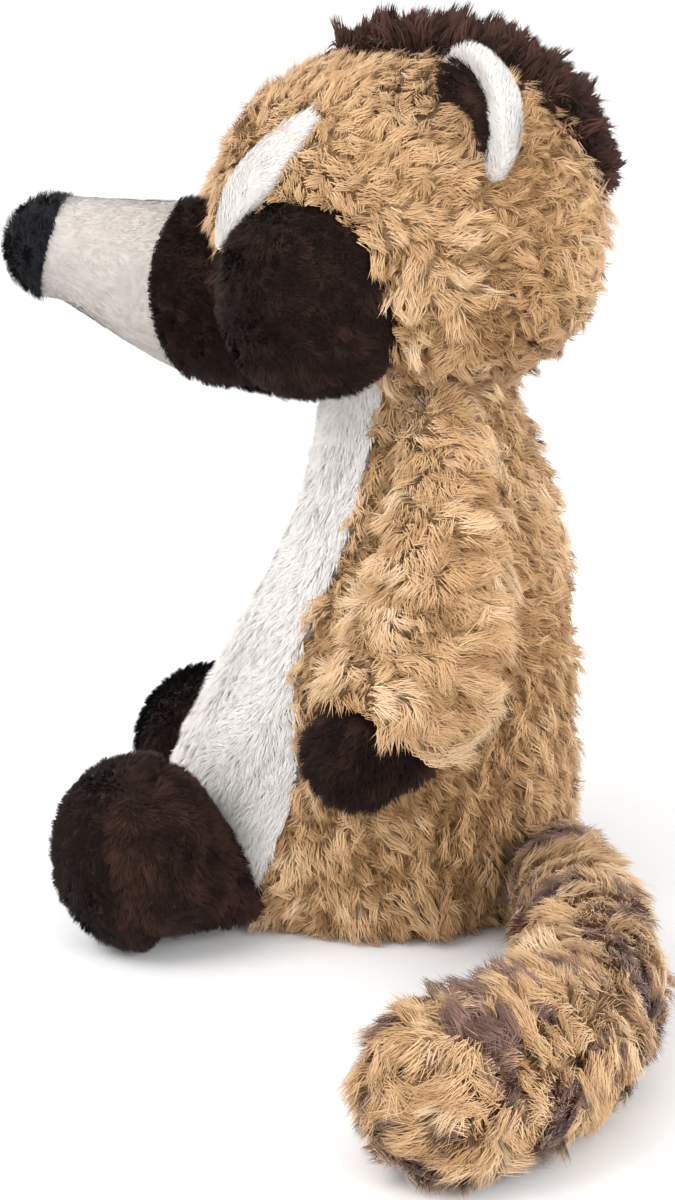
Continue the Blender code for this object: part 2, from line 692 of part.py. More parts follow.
def make_cutters():
    """Grown copies of the main forms, which cut their neighbours with the clearance."""
    cutters = {
        "torso": torso_solid("torso_cutter", GAP),
        "recess": belly_solid("recess_cutter", GAP, CUTTER_PROUD),
        "belly": belly_solid("belly_cutter", GAP, GAP),
        "head": egg_solid("head_cutter", "tan_plush", **head_egg(GAP)),
        "muzzle": muzzle_solid("muzzle_cutter", "tan_plush", GAP),
        "chin": chin_solid("chin_cutter", GAP, CHIN_PROUD + GAP),
    }
    for side, suffix in ((1, "left"), (-1, "right")):
        cutters["patch_" + suffix] = egg_solid(
            "patch_cutter_" + suffix, "brown_velboa", **patch_egg(side, GAP)
        )
        cutters["foot_" + suffix] = egg_solid(
            "foot_cutter_" + suffix, "brown_velboa", **foot_egg(side, GAP)
        )
        cutters["stripe_" + suffix] = stripe_solid("stripe_cutter_" + suffix, side, GAP, CUTTER_PROUD)
        cutters["eye_" + suffix] = eye_solid("eye_cutter_" + suffix, side, GAP)
    for cutter in cutters.values():
        guide(cutter)
    return cutters


def build():
    """Make every piece of the toy, and hang all of them on one empty."""
    clear_scene()
    by = make_cutters()
    patches = (by["patch_left"], by["patch_right"])
    stripes = (by["stripe_left"], by["stripe_right"])
    eyes = (by["eye_left"], by["eye_right"])
    body = (by["torso"], by["belly"])
    cut(torso_solid("torso"), by["recess"], by["head"], by["chin"], *patches)
    cut(belly_solid("belly_panel"), by["head"], by["chin"], *patches)
    head = egg_solid("head", "tan_plush", **head_egg())
    cut(head, *patches, by["muzzle"], *stripes, *eyes)
    cut(head, by["chin"], solver="MANIFOLD")
    muzzle_pieces(by)
    cut(chin_solid("chin_patch"), by["muzzle"], *patches)
    mane_solid("mane")
    cut(tail_solid("tail"), by["torso"])
    for side, suffix in ((1, "left"), (-1, "right")):
        patch = egg_solid("eye_patch_" + suffix, "brown_velboa", **patch_egg(side))
        cut(patch, by["eye_" + suffix])
        eye_solid("eye_" + suffix, side)
        stripe = stripe_solid("brow_stripe_" + suffix, side)
        cut(stripe, by["muzzle"], by["patch_" + suffix], by["eye_" + suffix])
        cut(ear_solid("ear_" + suffix, side), by["head"])
        cut(lining_solid("ear_lining_" + suffix, side), by["head"])
        arm, paw = arm_pieces(side, suffix)
        cut(arm, *body, by["head"], by["patch_" + suffix])
        cut(paw, *body)
        cut(egg_solid("foot_" + suffix, "brown_velboa", **foot_egg(side)), *body)
        cut(leg_solid("leg_" + suffix, side), by["foot_" + suffix], *body)
    root = bpy.data.objects.new("coati", None)
    bpy.context.scene.collection.objects.link(root)
    for thing in list(bpy.data.objects):
        if thing.type == "MESH":
            thing.parent = root


build()
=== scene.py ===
# %% [markdown]
# # Dressing a sitting plush coati
#
# The construction of this toy is a set of plain closed solids: one for each sewn and stuffed piece.
# This lesson dresses them. A plush toy is cloth with a pile on it, so nearly all of its look is hair:
# long crimped hair on the body, arms and tail, short dense hair on the face and feet, and tall tufts
# on the head. The frame is loaded first, and nothing in it is moved.

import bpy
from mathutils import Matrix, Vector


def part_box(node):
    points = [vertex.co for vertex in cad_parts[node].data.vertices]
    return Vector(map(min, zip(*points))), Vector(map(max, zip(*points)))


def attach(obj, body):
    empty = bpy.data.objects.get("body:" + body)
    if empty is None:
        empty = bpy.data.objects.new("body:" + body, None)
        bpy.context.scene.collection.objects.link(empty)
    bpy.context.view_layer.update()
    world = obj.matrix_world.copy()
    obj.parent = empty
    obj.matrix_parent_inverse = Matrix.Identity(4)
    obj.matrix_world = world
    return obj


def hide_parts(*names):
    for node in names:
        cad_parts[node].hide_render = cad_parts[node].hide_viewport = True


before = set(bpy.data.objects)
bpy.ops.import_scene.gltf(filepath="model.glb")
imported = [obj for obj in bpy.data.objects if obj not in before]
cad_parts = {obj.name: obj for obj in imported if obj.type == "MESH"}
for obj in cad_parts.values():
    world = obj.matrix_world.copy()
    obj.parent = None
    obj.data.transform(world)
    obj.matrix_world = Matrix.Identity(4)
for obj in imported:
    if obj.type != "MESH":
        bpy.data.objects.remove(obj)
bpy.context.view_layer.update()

# %% [markdown]
# Everything is worked out with numpy as whole arrays, in metres, in the frame's own axes: the toy looks
# along -Y, its left side is at +X, and the floor is at height 0.

# %% Modules and units
import math

import bpy
import numpy as np
from mathutils import Vector

MM = 0.001
FULL_TURN = 2 * math.pi
SIDES = ((1, "left"), (-1, "right"))
FINENESS = 1.0


def unit(vectors):
    """Each vector divided by its own length."""
    vectors = np.asarray(vectors, float)
    return vectors / np.maximum(np.linalg.norm(vectors, axis=-1, keepdims=True), 1e-12)


def through(stations, count):
    """A smooth curve through stations: a cubic between each two of them, shaped by their neighbours too."""
    rows = np.asarray(stations, float)
    padded = np.vstack([2 * rows[0] - rows[1], rows, 2 * rows[-1] - rows[-2]])
    place = np.linspace(0, len(rows) - 1, count)
    cell = np.minimum(place.astype(int), len(rows) - 2)
    t = (place - cell)[:, None]
    a, b, c, d = padded[cell], padded[cell + 1], padded[cell + 2], padded[cell + 3]
    return 0.5 * (2 * b + (c - a) * t + (2 * a - 5 * b + 4 * c - d) * t**2 + (3 * b - a - 3 * c + d) * t**3)


def wander(points, wavelength, seed, waves=14):
    """A smooth random value at each point, of spread 1: the sum of sine waves in random directions."""
    rng = np.random.default_rng(seed)
    direction = unit(rng.normal(size=(waves, 3)))
    pitch = wavelength * rng.uniform(0.7, 1.6, waves)
    phase = rng.uniform(0, FULL_TURN, waves)
    turns = points @ (direction / pitch[:, None]).T * FULL_TURN + phase
    return np.sin(turns).sum(axis=-1) * math.sqrt(2 / waves)


# %% [markdown]
# ## From a grid of points to a closed skin
#
# Every form below is a grid of points: rows of rings, from one pole to the other. One helper turns such a
# grid into a mesh, and makes sure that its faces look outwards by measuring its volume, which is the sum
# of each face's area vector times its place. Inside-out skins shade black and export wrongly.

# %% Skins from grids
def cells(rings):
    """The four corners of every cell of a grid whose rings close on themselves."""
    ring = np.concatenate([rings, rings[:, :1]], axis=1)
    return ring[:-1, :-1], ring[:-1, 1:], ring[1:, :-1], ring[1:, 1:]


def volume_sign(rings):
    """Plus or minus 1: which way round the grid's cells turn, seen from outside."""
    a, b, c, d = cells(rings)
    middle = rings.reshape(-1, 3).mean(axis=0)
    return 1 if np.sum(np.cross(d - a, c - b) * (a - middle)) > 0 else -1


def with_poles(rings):
    """The grid with the middle of its first and last ring added as poles, so that it closes."""
    around = rings.shape[1]
    first = np.repeat(rings[:1].mean(axis=1, keepdims=True), around, axis=1)
    last = np.repeat(rings[-1:].mean(axis=1, keepdims=True), around, axis=1)
    return np.concatenate([first, rings, last])


def link(name, mesh, *materials):
    """An object for a mesh, with its materials, in the scene."""
    for material in materials:
        mesh.materials.append(material)
    thing = bpy.data.objects.new(name, mesh)
    bpy.context.scene.collection.objects.link(thing)
    return thing


def skin_mesh(name, rings, material):
    """A closed smooth mesh. The first and last rows of the grid are its poles."""
    rows, around = rings.shape[:2]
    points = np.vstack([rings[0, :1], rings[1:-1].reshape(-1, 3), rings[-1, :1]])
    down = 1 + np.arange(rows - 3)[:, None] * around
    here = np.arange(around)[None, :]
    there = (here + 1) % around
    quads = np.stack([down + here, down + there, down + there + around, down + here + around], axis=-1)
    last = len(points) - 1
    end = last - around
    start_fan = np.stack([np.zeros(around, int), 1 + there[0], 1 + here[0]], axis=-1)
    end_fan = np.stack([np.full(around, last), end + here[0], end + there[0]], axis=-1)
    quads, fans = quads.reshape(-1, 4), np.vstack([start_fan, end_fan])
    if volume_sign(rings) < 0:
        quads, fans = quads[:, ::-1], fans[:, ::-1]
    mesh = bpy.data.meshes.new(name)
    mesh.from_pydata(points.tolist(), [], quads.tolist() + fans.tolist())
    mesh.shade_smooth()
    return link(name, mesh, material)


# %% [markdown]
# ## Cloth under the pile
#
# Each stuffed piece is a skin of cloth, drawn in from the construction's surface by the depth of its
# pile, so that the hair grows back out to the size that the construction has. The cloth shows between the
# hairs, in nearly their colour. Its two tones come from noise on object coordinates, and a fine bump stands
# for the hair that is too short to model.

# %% Cloth material
def nodes_of(name, roughness, sheen=0.0):
    """A new material with its node tree and its main shader, which has a soft woolly sheen."""
    material = bpy.data.materials.new(name)
    material.use_nodes = True
    tree = material.node_tree
    shader = tree.nodes["Principled BSDF"]
    shader.inputs["Roughness"].default_value = roughness
    shader.inputs["Specular IOR Level"].default_value = 0.12
    shader.inputs["Sheen Weight"].default_value = sheen
    shader.inputs["Sheen Roughness"].default_value = 0.5
    return material, tree, shader


def ramp(tree, source, stops):
    """A colour ramp from stops of place and colour."""
    node = tree.nodes.new("ShaderNodeValToRGB")
    band = node.color_ramp
    while len(band.elements) < len(stops):
        band.elements.new(0.5)
    for element, (place, colour) in zip(band.elements, stops):
        element.position = place
        element.color = (*colour, 1.0)
    tree.links.new(source, node.inputs[0])
    return node.outputs[0]


def noise(tree, scale, detail=2.0, harshness=0.5):
    """A noise texture on object coordinates."""
    node = tree.nodes.new("ShaderNodeTexNoise")
    for setting, value in (("Scale", scale), ("Detail", detail), ("Roughness", harshness)):
        node.inputs[setting].default_value = value
    tree.links.new(tree.nodes.new("ShaderNodeTexCoord").outputs["Object"], node.inputs["Vector"])
    return node.outputs[0]


def tint(tree, shader, source, dark, light, edge=0.3):
    """Two tones for a shader: the dark one where noise is below the edge, the light one above 1 - edge."""
    tree.links.new(ramp(tree, source, ((edge, dark), (1 - edge, light))), shader.inputs["Base Color"])


def cloth(name, dark, light, patches=90, bump=0.35):
    """Knitted ground cloth: two tones of one colour in soft patches, under a fine fibrous bump."""
    material, tree, shader = nodes_of(name, 0.92, 0.1)
    tint(tree, shader, noise(tree, patches, detail=6, harshness=0.7), dark, light, edge=0.35)
    relief = tree.nodes.new("ShaderNodeBump")
    relief.inputs["Strength"].default_value = bump
    relief.inputs["Distance"].default_value = 0.8 * MM
    tree.links.new(noise(tree, 900, detail=4), relief.inputs["Height"])
    tree.links.new(relief.outputs[0], shader.inputs["Normal"])
    return material


TAN_CLOTH = cloth("tan_cloth", (0.56, 0.36, 0.19), (0.68, 0.46, 0.26))
WHITE_CLOTH = cloth("white_cloth", (0.76, 0.735, 0.71), (0.81, 0.785, 0.76), bump=0.1)
CREAM_CLOTH = cloth("cream_cloth", (0.54, 0.495, 0.46), (0.57, 0.525, 0.49), patches=45, bump=0.1)
BROWN_CLOTH = cloth("brown_cloth", (0.014, 0.007, 0.005), (0.030, 0.015, 0.011))
BLACK_CLOTH = cloth("black_cloth", (0.010, 0.010, 0.013), (0.022, 0.022, 0.027))
TAIL_CLOTH = cloth("tail_cloth", (0.34, 0.20, 0.10), (0.50, 0.31, 0.16), patches=60)

# %% [markdown]
# ## Colour along a hair
#
# A hair is darker at its root, because its neighbours shade and crowd it there, and each lock has a tone
# of its own. Both are stored in a UV map: the tone of the strand runs across the map, and the way from
# root to tip runs up it. The material only reads that map, so one small picture can hold all of it.

# %% Pile material
PILE_MAP = "OFBake"


def pile(name, tones, root=0.45, middle=0.85, tip=1.0, reach=0.35, sheen=0.2):
    """Hair colour: tones across the map, times a shade that rises from root to tip up the map."""
    material, tree, shader = nodes_of(name, 0.8, sheen)
    lookup = tree.nodes.new("ShaderNodeUVMap")
    lookup.uv_map = PILE_MAP
    split = tree.nodes.new("ShaderNodeSeparateXYZ")
    tree.links.new(lookup.outputs[0], split.inputs[0])
    tone = ramp(tree, split.outputs[0], tones)
    shade = ramp(tree, split.outputs[1], ((0.0, (root,) * 3), (reach, (middle,) * 3), (1.0, (tip,) * 3)))
    mix = tree.nodes.new("ShaderNodeMix")
    mix.data_type = "RGBA"
    mix.blend_type = "MULTIPLY"
    mix.inputs["Factor"].default_value = 1.0
    tree.links.new(tone, mix.inputs["A"])
    tree.links.new(shade, mix.inputs["B"])
    tree.links.new(mix.outputs["Result"], shader.inputs["Base Color"])
    return material


TAN_PILE = pile("tan_pile", (
    (0.0, (0.31, 0.16, 0.065)), (0.35, (0.55, 0.325, 0.155)),
    (0.7, (0.72, 0.47, 0.255)), (1.0, (0.86, 0.65, 0.44)),
), root=0.7, middle=0.92, tip=1.0)
WHITE_PILE = pile("white_pile", ((0.0, (0.66, 0.63, 0.60)), (1.0, (0.95, 0.92, 0.89))),
                  root=0.97, middle=1.0, sheen=0.1)
CREAM_PILE = pile("cream_pile", ((0.0, (0.53, 0.485, 0.45)), (1.0, (0.60, 0.55, 0.515))),
                  root=0.95, middle=1.0, sheen=0.1)
BROWN_PILE = pile("brown_pile", (
    (0.0, (0.007, 0.003, 0.002)), (0.5, (0.017, 0.0072, 0.0048)), (1.0, (0.078, 0.036, 0.026)),
), root=0.6, sheen=0.04)
BLACK_PILE = pile("black_pile", ((0.0, (0.007, 0.007, 0.010)), (1.0, (0.030, 0.031, 0.040))), sheen=0.08)
MANE_PILE = pile("mane_pile", (
    (0.0, (0.016, 0.008, 0.006)), (0.5, (0.050, 0.022, 0.016)), (1.0, (0.13, 0.060, 0.044)),
), root=0.5, sheen=0.08)
BANDED_PILE = pile("banded_pile", (
    (0.0, (0.075, 0.040, 0.034)), (0.5, (0.13, 0.075, 0.062)), (1.0, (0.28, 0.17, 0.12)),
), root=3.0, middle=2.0, tip=0.75, reach=0.4, sheen=0.12)

# %% [markdown]
# ## Hair as ribbons
#
# Pile could be a particle system, but then the exported meshes would be bald. Here each strand is a
# tapered ribbon of one, three or five triangles, which leans over from the cloth's normal towards the way
# it is combed. Two things make ribbons look like plush and not like grass. Strands are gathered into
# locks, each drawn towards the strand in the middle of its lock. And their shading normals lean back to
# the cloth's own normal, so that light wraps round the whole body and not round each ribbon.

# %% Roots on a surface
def scatter(grid, per_mm2, seed):
    """Random roots spread evenly over a closed grid, with the cloth's outward normals.

    A cell is picked in proportion to its area. The place in it is a weighted mean of its four corners.
    """
    rng = np.random.default_rng(seed)
    a, b, c, d = (corner.reshape(-1, 3) for corner in cells(grid))
    facing = np.cross(d - a, c - b) * volume_sign(grid)
    area = np.linalg.norm(facing, axis=1) / 2
    count = int(area.sum() / MM**2 * per_mm2 * FINENESS)
    running = np.cumsum(area)
    picked = np.searchsorted(running, (np.arange(count) + rng.random(count)) / count * running[-1])
    picked = np.minimum(picked, len(area) - 1)
    s, t = rng.random((2, count, 1))
    near = a[picked] * (1 - t) + b[picked] * t
    far = c[picked] * (1 - t) + d[picked] * t
    return near * (1 - s) + far * s, unit(facing[picked])


def combed(places, normals, towards, swirl, wavelength, seed):
    """Directions along the cloth: the wish laid flat on the cloth, then turned by a smooth random angle."""
    wish = np.broadcast_to(np.asarray(towards, float), places.shape)
    flat = unit(wish - np.sum(wish * normals, axis=1, keepdims=True) * normals)
    turn = (swirl * wander(places, wavelength, seed))[:, None]
    return np.cos(turn) * flat + np.sin(turn) * np.cross(normals, flat)


def nearest(places, centres):
    """For each place, the number of the nearest centre, from tables of squared distances."""
    size = np.sum(centres**2, axis=1)
    rows = 3000
    parts = [places[start:start + rows] for start in range(0, len(places), rows)]
    return np.concatenate([np.argmin(size - 2 * part @ centres.T, axis=1) for part in parts])


# %% [markdown]
# A strand is a short walk of equal steps, and each step leans over more than the one before. In a lock, all
# strands share most of their turn, length, lean and tone, and their tips are drawn together.

# %% Strands and locks
LENGTH_SPREAD, LEAN_SPREAD = (0.12, 0.07), (0.18, 0.08)
HIGHEST_BUMP = 1.7


def strand_lines(places, normals, comb, length, lean, curl, steps):
    """Points along each strand, as equal steps.

    A step's lean from the normal grows evenly and has the given mean, while the comb turns through the curl.
    """
    share = (np.arange(steps) + 0.5) / steps
    angle = 2 * lean[:, None] * share
    turn = (curl[:, None] * (share - 0.5))[..., None]
    flat = np.cos(turn) * comb[:, None] + np.sin(turn) * np.cross(normals, comb)[:, None]
    step = np.cos(angle)[..., None] * normals[:, None] + np.sin(angle)[..., None] * flat
    walk = np.cumsum(step * (length / steps)[:, None, None], axis=1)
    return places[:, None] + np.concatenate([np.zeros((len(places), 1, 3)), walk], axis=1)


def grown(places, normals, comb, style, seed, shade=0.0):
    """The strands of one piece of pile, gathered into locks, with a tone from 0 to 1 for each.

    Each step's point moves towards the lock's middle strand by the pull, times how far up the strand it is.
    A smooth relief makes the strands longer on its bumps and shorter in its hollows. It also paints them
    paler on its bumps and darker in its hollows, as painted light and shade. The shade is added to every
    strand's tone.
    The style's vary scales how much strands differ in length and lean, and most is the greatest mean lean.
    """
    rng = np.random.default_rng(seed)
    count = len(places)
    middles = rng.choice(count, max(1, int(count / (style["per_lock"] * FINENESS))), replace=False)
    owner = middles[nearest(places, places[middles])]

    def differing(by_lock, by_strand):
        """Random amounts of a mean of 0: a part that a whole lock shares, and a part of each strand's own."""
        return rng.normal(0, by_lock, count)[owner] + rng.normal(0, by_strand, count)

    turn = differing(style["lock_turn"], style["stray"])
    comb = np.cos(turn)[:, None] * comb + np.sin(turn)[:, None] * np.cross(normals, comb)
    bumps = wander(places * style.get("stretch", 1.0), style.get("bumps", 11 * MM), seed + 1)
    relief = np.clip(bumps, -HIGHEST_BUMP, HIGHEST_BUMP)
    vary = style.get("vary", 1.0)
    length = style["length"] * (1 + vary * differing(*LENGTH_SPREAD)) * (1 + style["relief"] * relief)
    lean = style["lean"] * (1 + vary * differing(*LEAN_SPREAD))
    lean = np.clip(lean, 0.05, style.get("most", 0.96))
    curl = style.get("curl", 0.0) * rng.normal(size=count)[owner]
    lines = strand_lines(places, normals, comb, length, lean, curl, style["steps"])
    up = np.linspace(0, 1, lines.shape[1]) ** 1.2
    pull = np.clip(style["pull"] * (1 + rng.normal(0, 0.3, count)), 0, 0.95)
    lines = lines + (pull[:, None] * up)[..., None] * (lines[owner] - lines)
    lines = lines + style.get("crimp", 0.0) * rng.normal(size=(count, 1, 3)) * np.sin(up * 5)[None, :, None]
    lines[..., 2] = np.maximum(lines[..., 2], 0.4 * MM)
    # Painted light and shade: the relief makes strands paler on bumps and darker in hollows.
    tone = style["tone"] + shade + style["spread"] * (0.6 * rng.normal(size=count)[owner] + relief)
    return lines, np.clip(tone + 0.07 * rng.normal(size=count), 0.02, 0.98)


# %% Ribbons from strands
ROLL = 2.1
SIDE_CHANGE = 10 * MM
ROUGH, FLAT = 0.72, 0.97


def ribbon_mesh(name, lines, normals, tone, width, materials, kind, softness):
    """A mesh of tapered ribbons that lie flat to the cloth.

    A ribbon's edges are its line plus and minus half its width along the cross product of its direction and
    the way it faces. That is the cloth's normal, rolled towards the side of the toy that it is on, so that a
    side view shows faces and not edges on its outline. The change of side lies a little right of the middle,
    where the left view doesn't show it. Pile of a softness near 1 hardly rolls. The last point is shared, so
    each ribbon ends in a tip.
    """
    count, levels = lines.shape[:2]
    along = unit(np.gradient(lines, axis=1))
    away = np.clip(1 + lines[:, 0, :1] / SIDE_CHANGE, -1, 1) * np.array((1.0, 0, 0))
    side = unit(np.cross(along, unit(normals + ROLL * (1 - softness) * away)[:, None]))
    face = np.cross(side, along)
    taper = np.linspace(1.0, 0.8, levels - 1)
    reach = side[:, :-1] * (width * taper / 2)[:, None]
    pairs = np.stack([lines[:, :-1] - reach, lines[:, :-1] + reach], axis=2).reshape(count, -1, 3)
    points = np.concatenate([pairs, lines[:, -1:]], axis=1)
    soft = softness * normals[:, None] + (1 - softness) * face
    round_off = 0.8 * (1 - softness) * side[:, :-1]
    soft_pairs = np.stack([soft[:, :-1] - round_off, soft[:, :-1] + round_off], axis=2).reshape(count, -1, 3)
    shading = unit(np.concatenate([soft_pairs, soft[:, -1:]], axis=1)).reshape(-1, 3)
    per_strand = points.shape[1]
    step = 2 * np.arange(levels - 2)[:, None]
    lower = np.concatenate([step, step + 1, step + 3], axis=1)
    upper = np.concatenate([step, step + 3, step + 2], axis=1)
    tip = np.array([[per_strand - 3, per_strand - 2, per_strand - 1]])
    pattern = np.concatenate([lower, upper, tip])
    corners = (np.arange(count)[:, None, None] * per_strand + pattern).reshape(-1)
    across = np.tile(np.array([-0.015, 0.015]), levels - 1)
    map_u = np.clip(tone[:, None] + np.append(across, 0.0), 0.01, 0.99)
    map_v = np.append(np.repeat(np.linspace(0, 1, levels)[:-1], 2), 1.0) * 0.96 + 0.02
    flat_map = np.stack(np.broadcast_arrays(map_u, map_v), axis=-1).reshape(-1, 2)
    mesh = bpy.data.meshes.new(name)
    mesh.vertices.add(count * per_strand)
    mesh.vertices.foreach_set("co", points.astype(np.float32).ravel())
    mesh.loops.add(len(corners))
    mesh.loops.foreach_set("vertex_index", corners.astype(np.int32))
    mesh.polygons.add(len(corners) // 3)
    mesh.polygons.foreach_set("loop_start", np.arange(0, len(corners), 3, dtype=np.int32))
    if kind is not None:
        mesh.polygons.foreach_set("material_index", np.repeat(kind, len(pattern)).astype(np.int32))
    mesh.update(calc_edges=True)
    layer = mesh.uv_layers.new(name=PILE_MAP)
    layer.data.foreach_set("uv", flat_map[corners].astype(np.float32).ravel())
    mesh.shade_smooth()
    mesh.normals_split_custom_set_from_vertices(shading)
    print(f"{name}: {count} strands, {len(corners) // 3} triangles")
    return link(name, mesh, *materials)


# %% [markdown]
# A style is a table of measures. Its lean is in radians from the cloth's normal, its tone runs from 0 to 1,
# and its bumps are the size of the soft hills in the pile. The long styles are crimped and lie in locks:
# small curls behind the ears, big soft locks on the arms and tail, and small locks in upright hills on the
# back. The white belly is calm and nearly lies down, and the mane stands up. Short pile covers the dark
# pieces, and smooth pile the snout, the stripes and the ears.

# %% Pile styles
LONG = {"length": 10 * MM, "lean": 0.78, "per_lock": 26, "lock_turn": 0.5, "pull": 0.4, "crimp": 0.5 * MM,
        "stray": 0.2, "curl": 1.6, "relief": 0.25, "spread": 0.16, "tone": 0.52, "steps": 2}
CURLY = {**LONG, "length": 8.5 * MM, "per_lock": 14, "lock_turn": 0.9, "bumps": 7 * MM, "relief": 0.3,
         "spread": 0.14}
ARM = {**LONG, "length": 13 * MM, "lean": 0.8, "per_lock": 30, "lock_turn": 0.35, "pull": 0.33,
       "stray": 0.28, "bumps": 15 * MM, "relief": 0.22, "tone": 0.56}
BACK = {**LONG, "length": 9.5 * MM, "per_lock": 15, "lock_turn": 0.4, "bumps": 8 * MM, "relief": 0.3,
        "spread": 0.2, "tone": 0.4, "stretch": np.array((1, 1, 0.4))}
FLUFFY = {**LONG, "length": 14 * MM, "lean": 0.86, "per_lock": 50, "lock_turn": 0.3, "stray": 0.3,
          "relief": 0.12, "spread": 0.14, "tone": 0.55}
CALM = {**LONG, "length": 6 * MM, "lean": 1.22, "most": 1.5, "per_lock": 24, "lock_turn": 0.3, "pull": 0.1,
        "crimp": 0.05 * MM, "relief": 0.05, "spread": 0.03, "tone": 0.55, "vary": 0.5, "steps": 1}
TALL = {**LONG, "lean": 0.32, "per_lock": 18, "lock_turn": 0.9, "pull": 0.5, "tone": 0.45, "steps": 3}
SHORT = {"length": 3.6 * MM, "lean": 0.75, "per_lock": 26, "lock_turn": 0.35, "pull": 0.3, "stray": 0.25,
         "relief": 0.1, "spread": 0.10, "tone": 0.48, "bumps": 13 * MM, "steps": 1}
SMOOTH = {**SHORT, "length": 2.2 * MM, "lean": 1.36, "most": 1.5, "per_lock": 40, "lock_turn": 0.1,
          "pull": 0.1, "relief": 0.0, "spread": 0.03, "tone": 0.35, "vary": 0.3}


def dress(name, lines, normals, tone, width, materials, softness=ROUGH, kind=None):
    """One object of hair from its strands, which rides with the toy. The kind picks a strand's material."""
    thing = ribbon_mesh(name, lines, normals, tone, width, materials, kind, softness)
    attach(thing, "root")


def stuffed(name, rings, material, node):
    """One stuffed skin in place of its plain solid, which rides with the toy."""
    thing = skin_mesh(name, rings, material)
    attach(thing, "root")
    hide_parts(node)


# %% [markdown]
# ## Round forms
#
# The head, the eye patches and the feet are rounded eggs: on their surface the sum of the powers of x, y
# and z, each over its own half size, is 1. A power a little above 2 makes them fuller than an ellipsoid,
# as tight stuffing does. Their sizes come from the frame's boxes where a box shows them.

# %% Eggs
def box_of(node):
    """Lowest and highest corner of a solid in the frame, as arrays."""
    low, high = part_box(node)
    return np.array(low), np.array(high)


def egg_value(points, egg, grow=0.0):
    """Below 1 inside an egg, and above 1 outside it."""
    d = np.asarray(points) - egg["centre"]
    low, high = egg["low"] + grow, egg["high"] + grow
    half = np.where(d < 0, low, high)
    return np.sum(np.abs(d / half) ** egg["power"], axis=-1) ** (1 / egg["power"])


def egg_grid(egg, grow=0.0):
    """A grid on an egg: each ray from its centre is scaled by one over its value there."""
    polar = np.linspace(0, math.pi, 40)[:, None]
    turn = np.linspace(0, FULL_TURN, 56, endpoint=False)[None, :]
    level = np.cos(polar) + 0 * turn
    rays = np.stack([np.sin(polar) * np.cos(turn), np.sin(polar) * np.sin(turn), level], axis=-1)
    return egg["centre"] + rays / egg_value(egg["centre"] + rays, egg, grow)[..., None]


HEAD_CENTRE = np.array((0.0, 8, 268)) * MM
head_low, head_high = box_of("head")
HEAD = {
    "centre": HEAD_CENTRE, "power": 2.35,
    "low": np.array((HEAD_CENTRE[0] - head_low[0], 77 * MM, 62 * MM)),
    "high": head_high - HEAD_CENTRE,
}


def patch_egg(suffix):
    """The eye patch's egg, straight from its box."""
    low, high = box_of("eye_patch_" + suffix)
    return {"centre": (low + high) / 2, "power": 2.2, "low": (high - low) / 2, "high": (high - low) / 2}


PATCHES = {suffix: patch_egg(suffix) for _, suffix in SIDES}
print("head half sizes in mm:", np.round(HEAD["high"] * 1000))

# %% [markdown]
# ## Muzzle
#
# The muzzle is one tapered tube of ovals from the nose back into the head. Its three fabrics meet at two
# seams. One profile serves all three, and each piece is the stretch of it between two seams.

# %% Muzzle form
NOSE_TIP = np.array((0.0, -151, 259)) * MM
NOSE_ROUNDING = 22 * MM
NOSE_SEAM_Y = -131 * MM
SEAM_LEAN = math.tan(math.radians(14))
SNOUT_SEAM_Y = -82 * MM
SNOUT_SEAM_BULGE = 8 * MM
MUZZLE = np.array(((-129, 259, 19, 21.5), (-82, 245, 27, 34.5), (-40, 244, 33, 42))) * MM


def muzzle_profile():
    """Place along Y, height, half width and half height of the muzzle, with a round tip."""
    angle = np.linspace(math.pi / 2, 0, 14)[:-1]
    tip = np.column_stack([
        MUZZLE[0, 0] - NOSE_ROUNDING * np.sin(angle),
        np.full(len(angle), NOSE_TIP[2]),
        MUZZLE[0, 2] * np.cos(angle),
        MUZZLE[0, 3] * np.cos(angle),
    ])
    return np.concatenate([tip, through(MUZZLE, 60)])


def muzzle_value(points, grow=0.0):
    """Below 1 inside the muzzle, and above 1 outside it."""
    y, z, wide, high = muzzle_profile().T
    place = points[..., 1]
    z, wide, high = (np.interp(place, y, values) for values in (z, wide, high))
    value = np.hypot(points[..., 0] / (wide + grow), (points[..., 2] - z) / (high + grow))
    return np.where((place < y[0]) | (place > y[-1]), 9.0, value)


def muzzle_stretch(start, end, start_lean, end_lean, grow):
    """Rings of the muzzle between two seams.

    A seam that leans lies further back the higher it is. The snout's seam also bends forward at the sides.
    """
    y, z, wide, high = muzzle_profile().T
    turn = np.linspace(0, FULL_TURN, 52, endpoint=False)[None, :]
    share = np.linspace(0, 1, 20)[:, None]
    place = start + (end - start) * share + 0 * turn
    lean = start_lean * (1 - share) + end_lean * share
    bend = np.interp(place, (NOSE_SEAM_Y, SNOUT_SEAM_Y, MUZZLE[-1, 0]), (0, SNOUT_SEAM_BULGE, 0))
    place = place + lean * np.interp(place, y, high) * np.sin(turn) - bend * np.cos(turn) ** 2
    half_wide = np.maximum(np.interp(place, y, wide) + grow, 0.1 * MM)
    half_high = np.maximum(np.interp(place, y, high) + grow, 0.1 * MM)
    middle = np.interp(place, y, z)
    return np.stack([np.cos(turn) * half_wide, place, middle + np.sin(turn) * half_high], axis=-1)


# %% [markdown]
# ## Body
#
# The body is a pear. Its front, back and side profiles are three smooth curves of height, and the lowest
# stretch rounds in to the flat seat, which the bag of pellets makes. The white belly is a strip of the same
# pear, so both share one function of height and angle.

# %% Body form
SEAT_SHARE = 0.83
SEAT_ROUNDING = 30 * MM
BODY_TOP = 225 * MM
BODY = np.array((
    (0, -88, 77, 74), (50, -88, 77, 74), (150, -40, 70, 55), (205, -26, 50, 42), (225, -26, 50, 42),
)) * MM
BODY_CURVE = through(BODY, 300)
BELLY_HALF_ANGLES = np.array((58, 72, 56, 61, 76), float)
BELLY_BOTTOM = 4 * MM
FRONT = 1.5 * math.pi


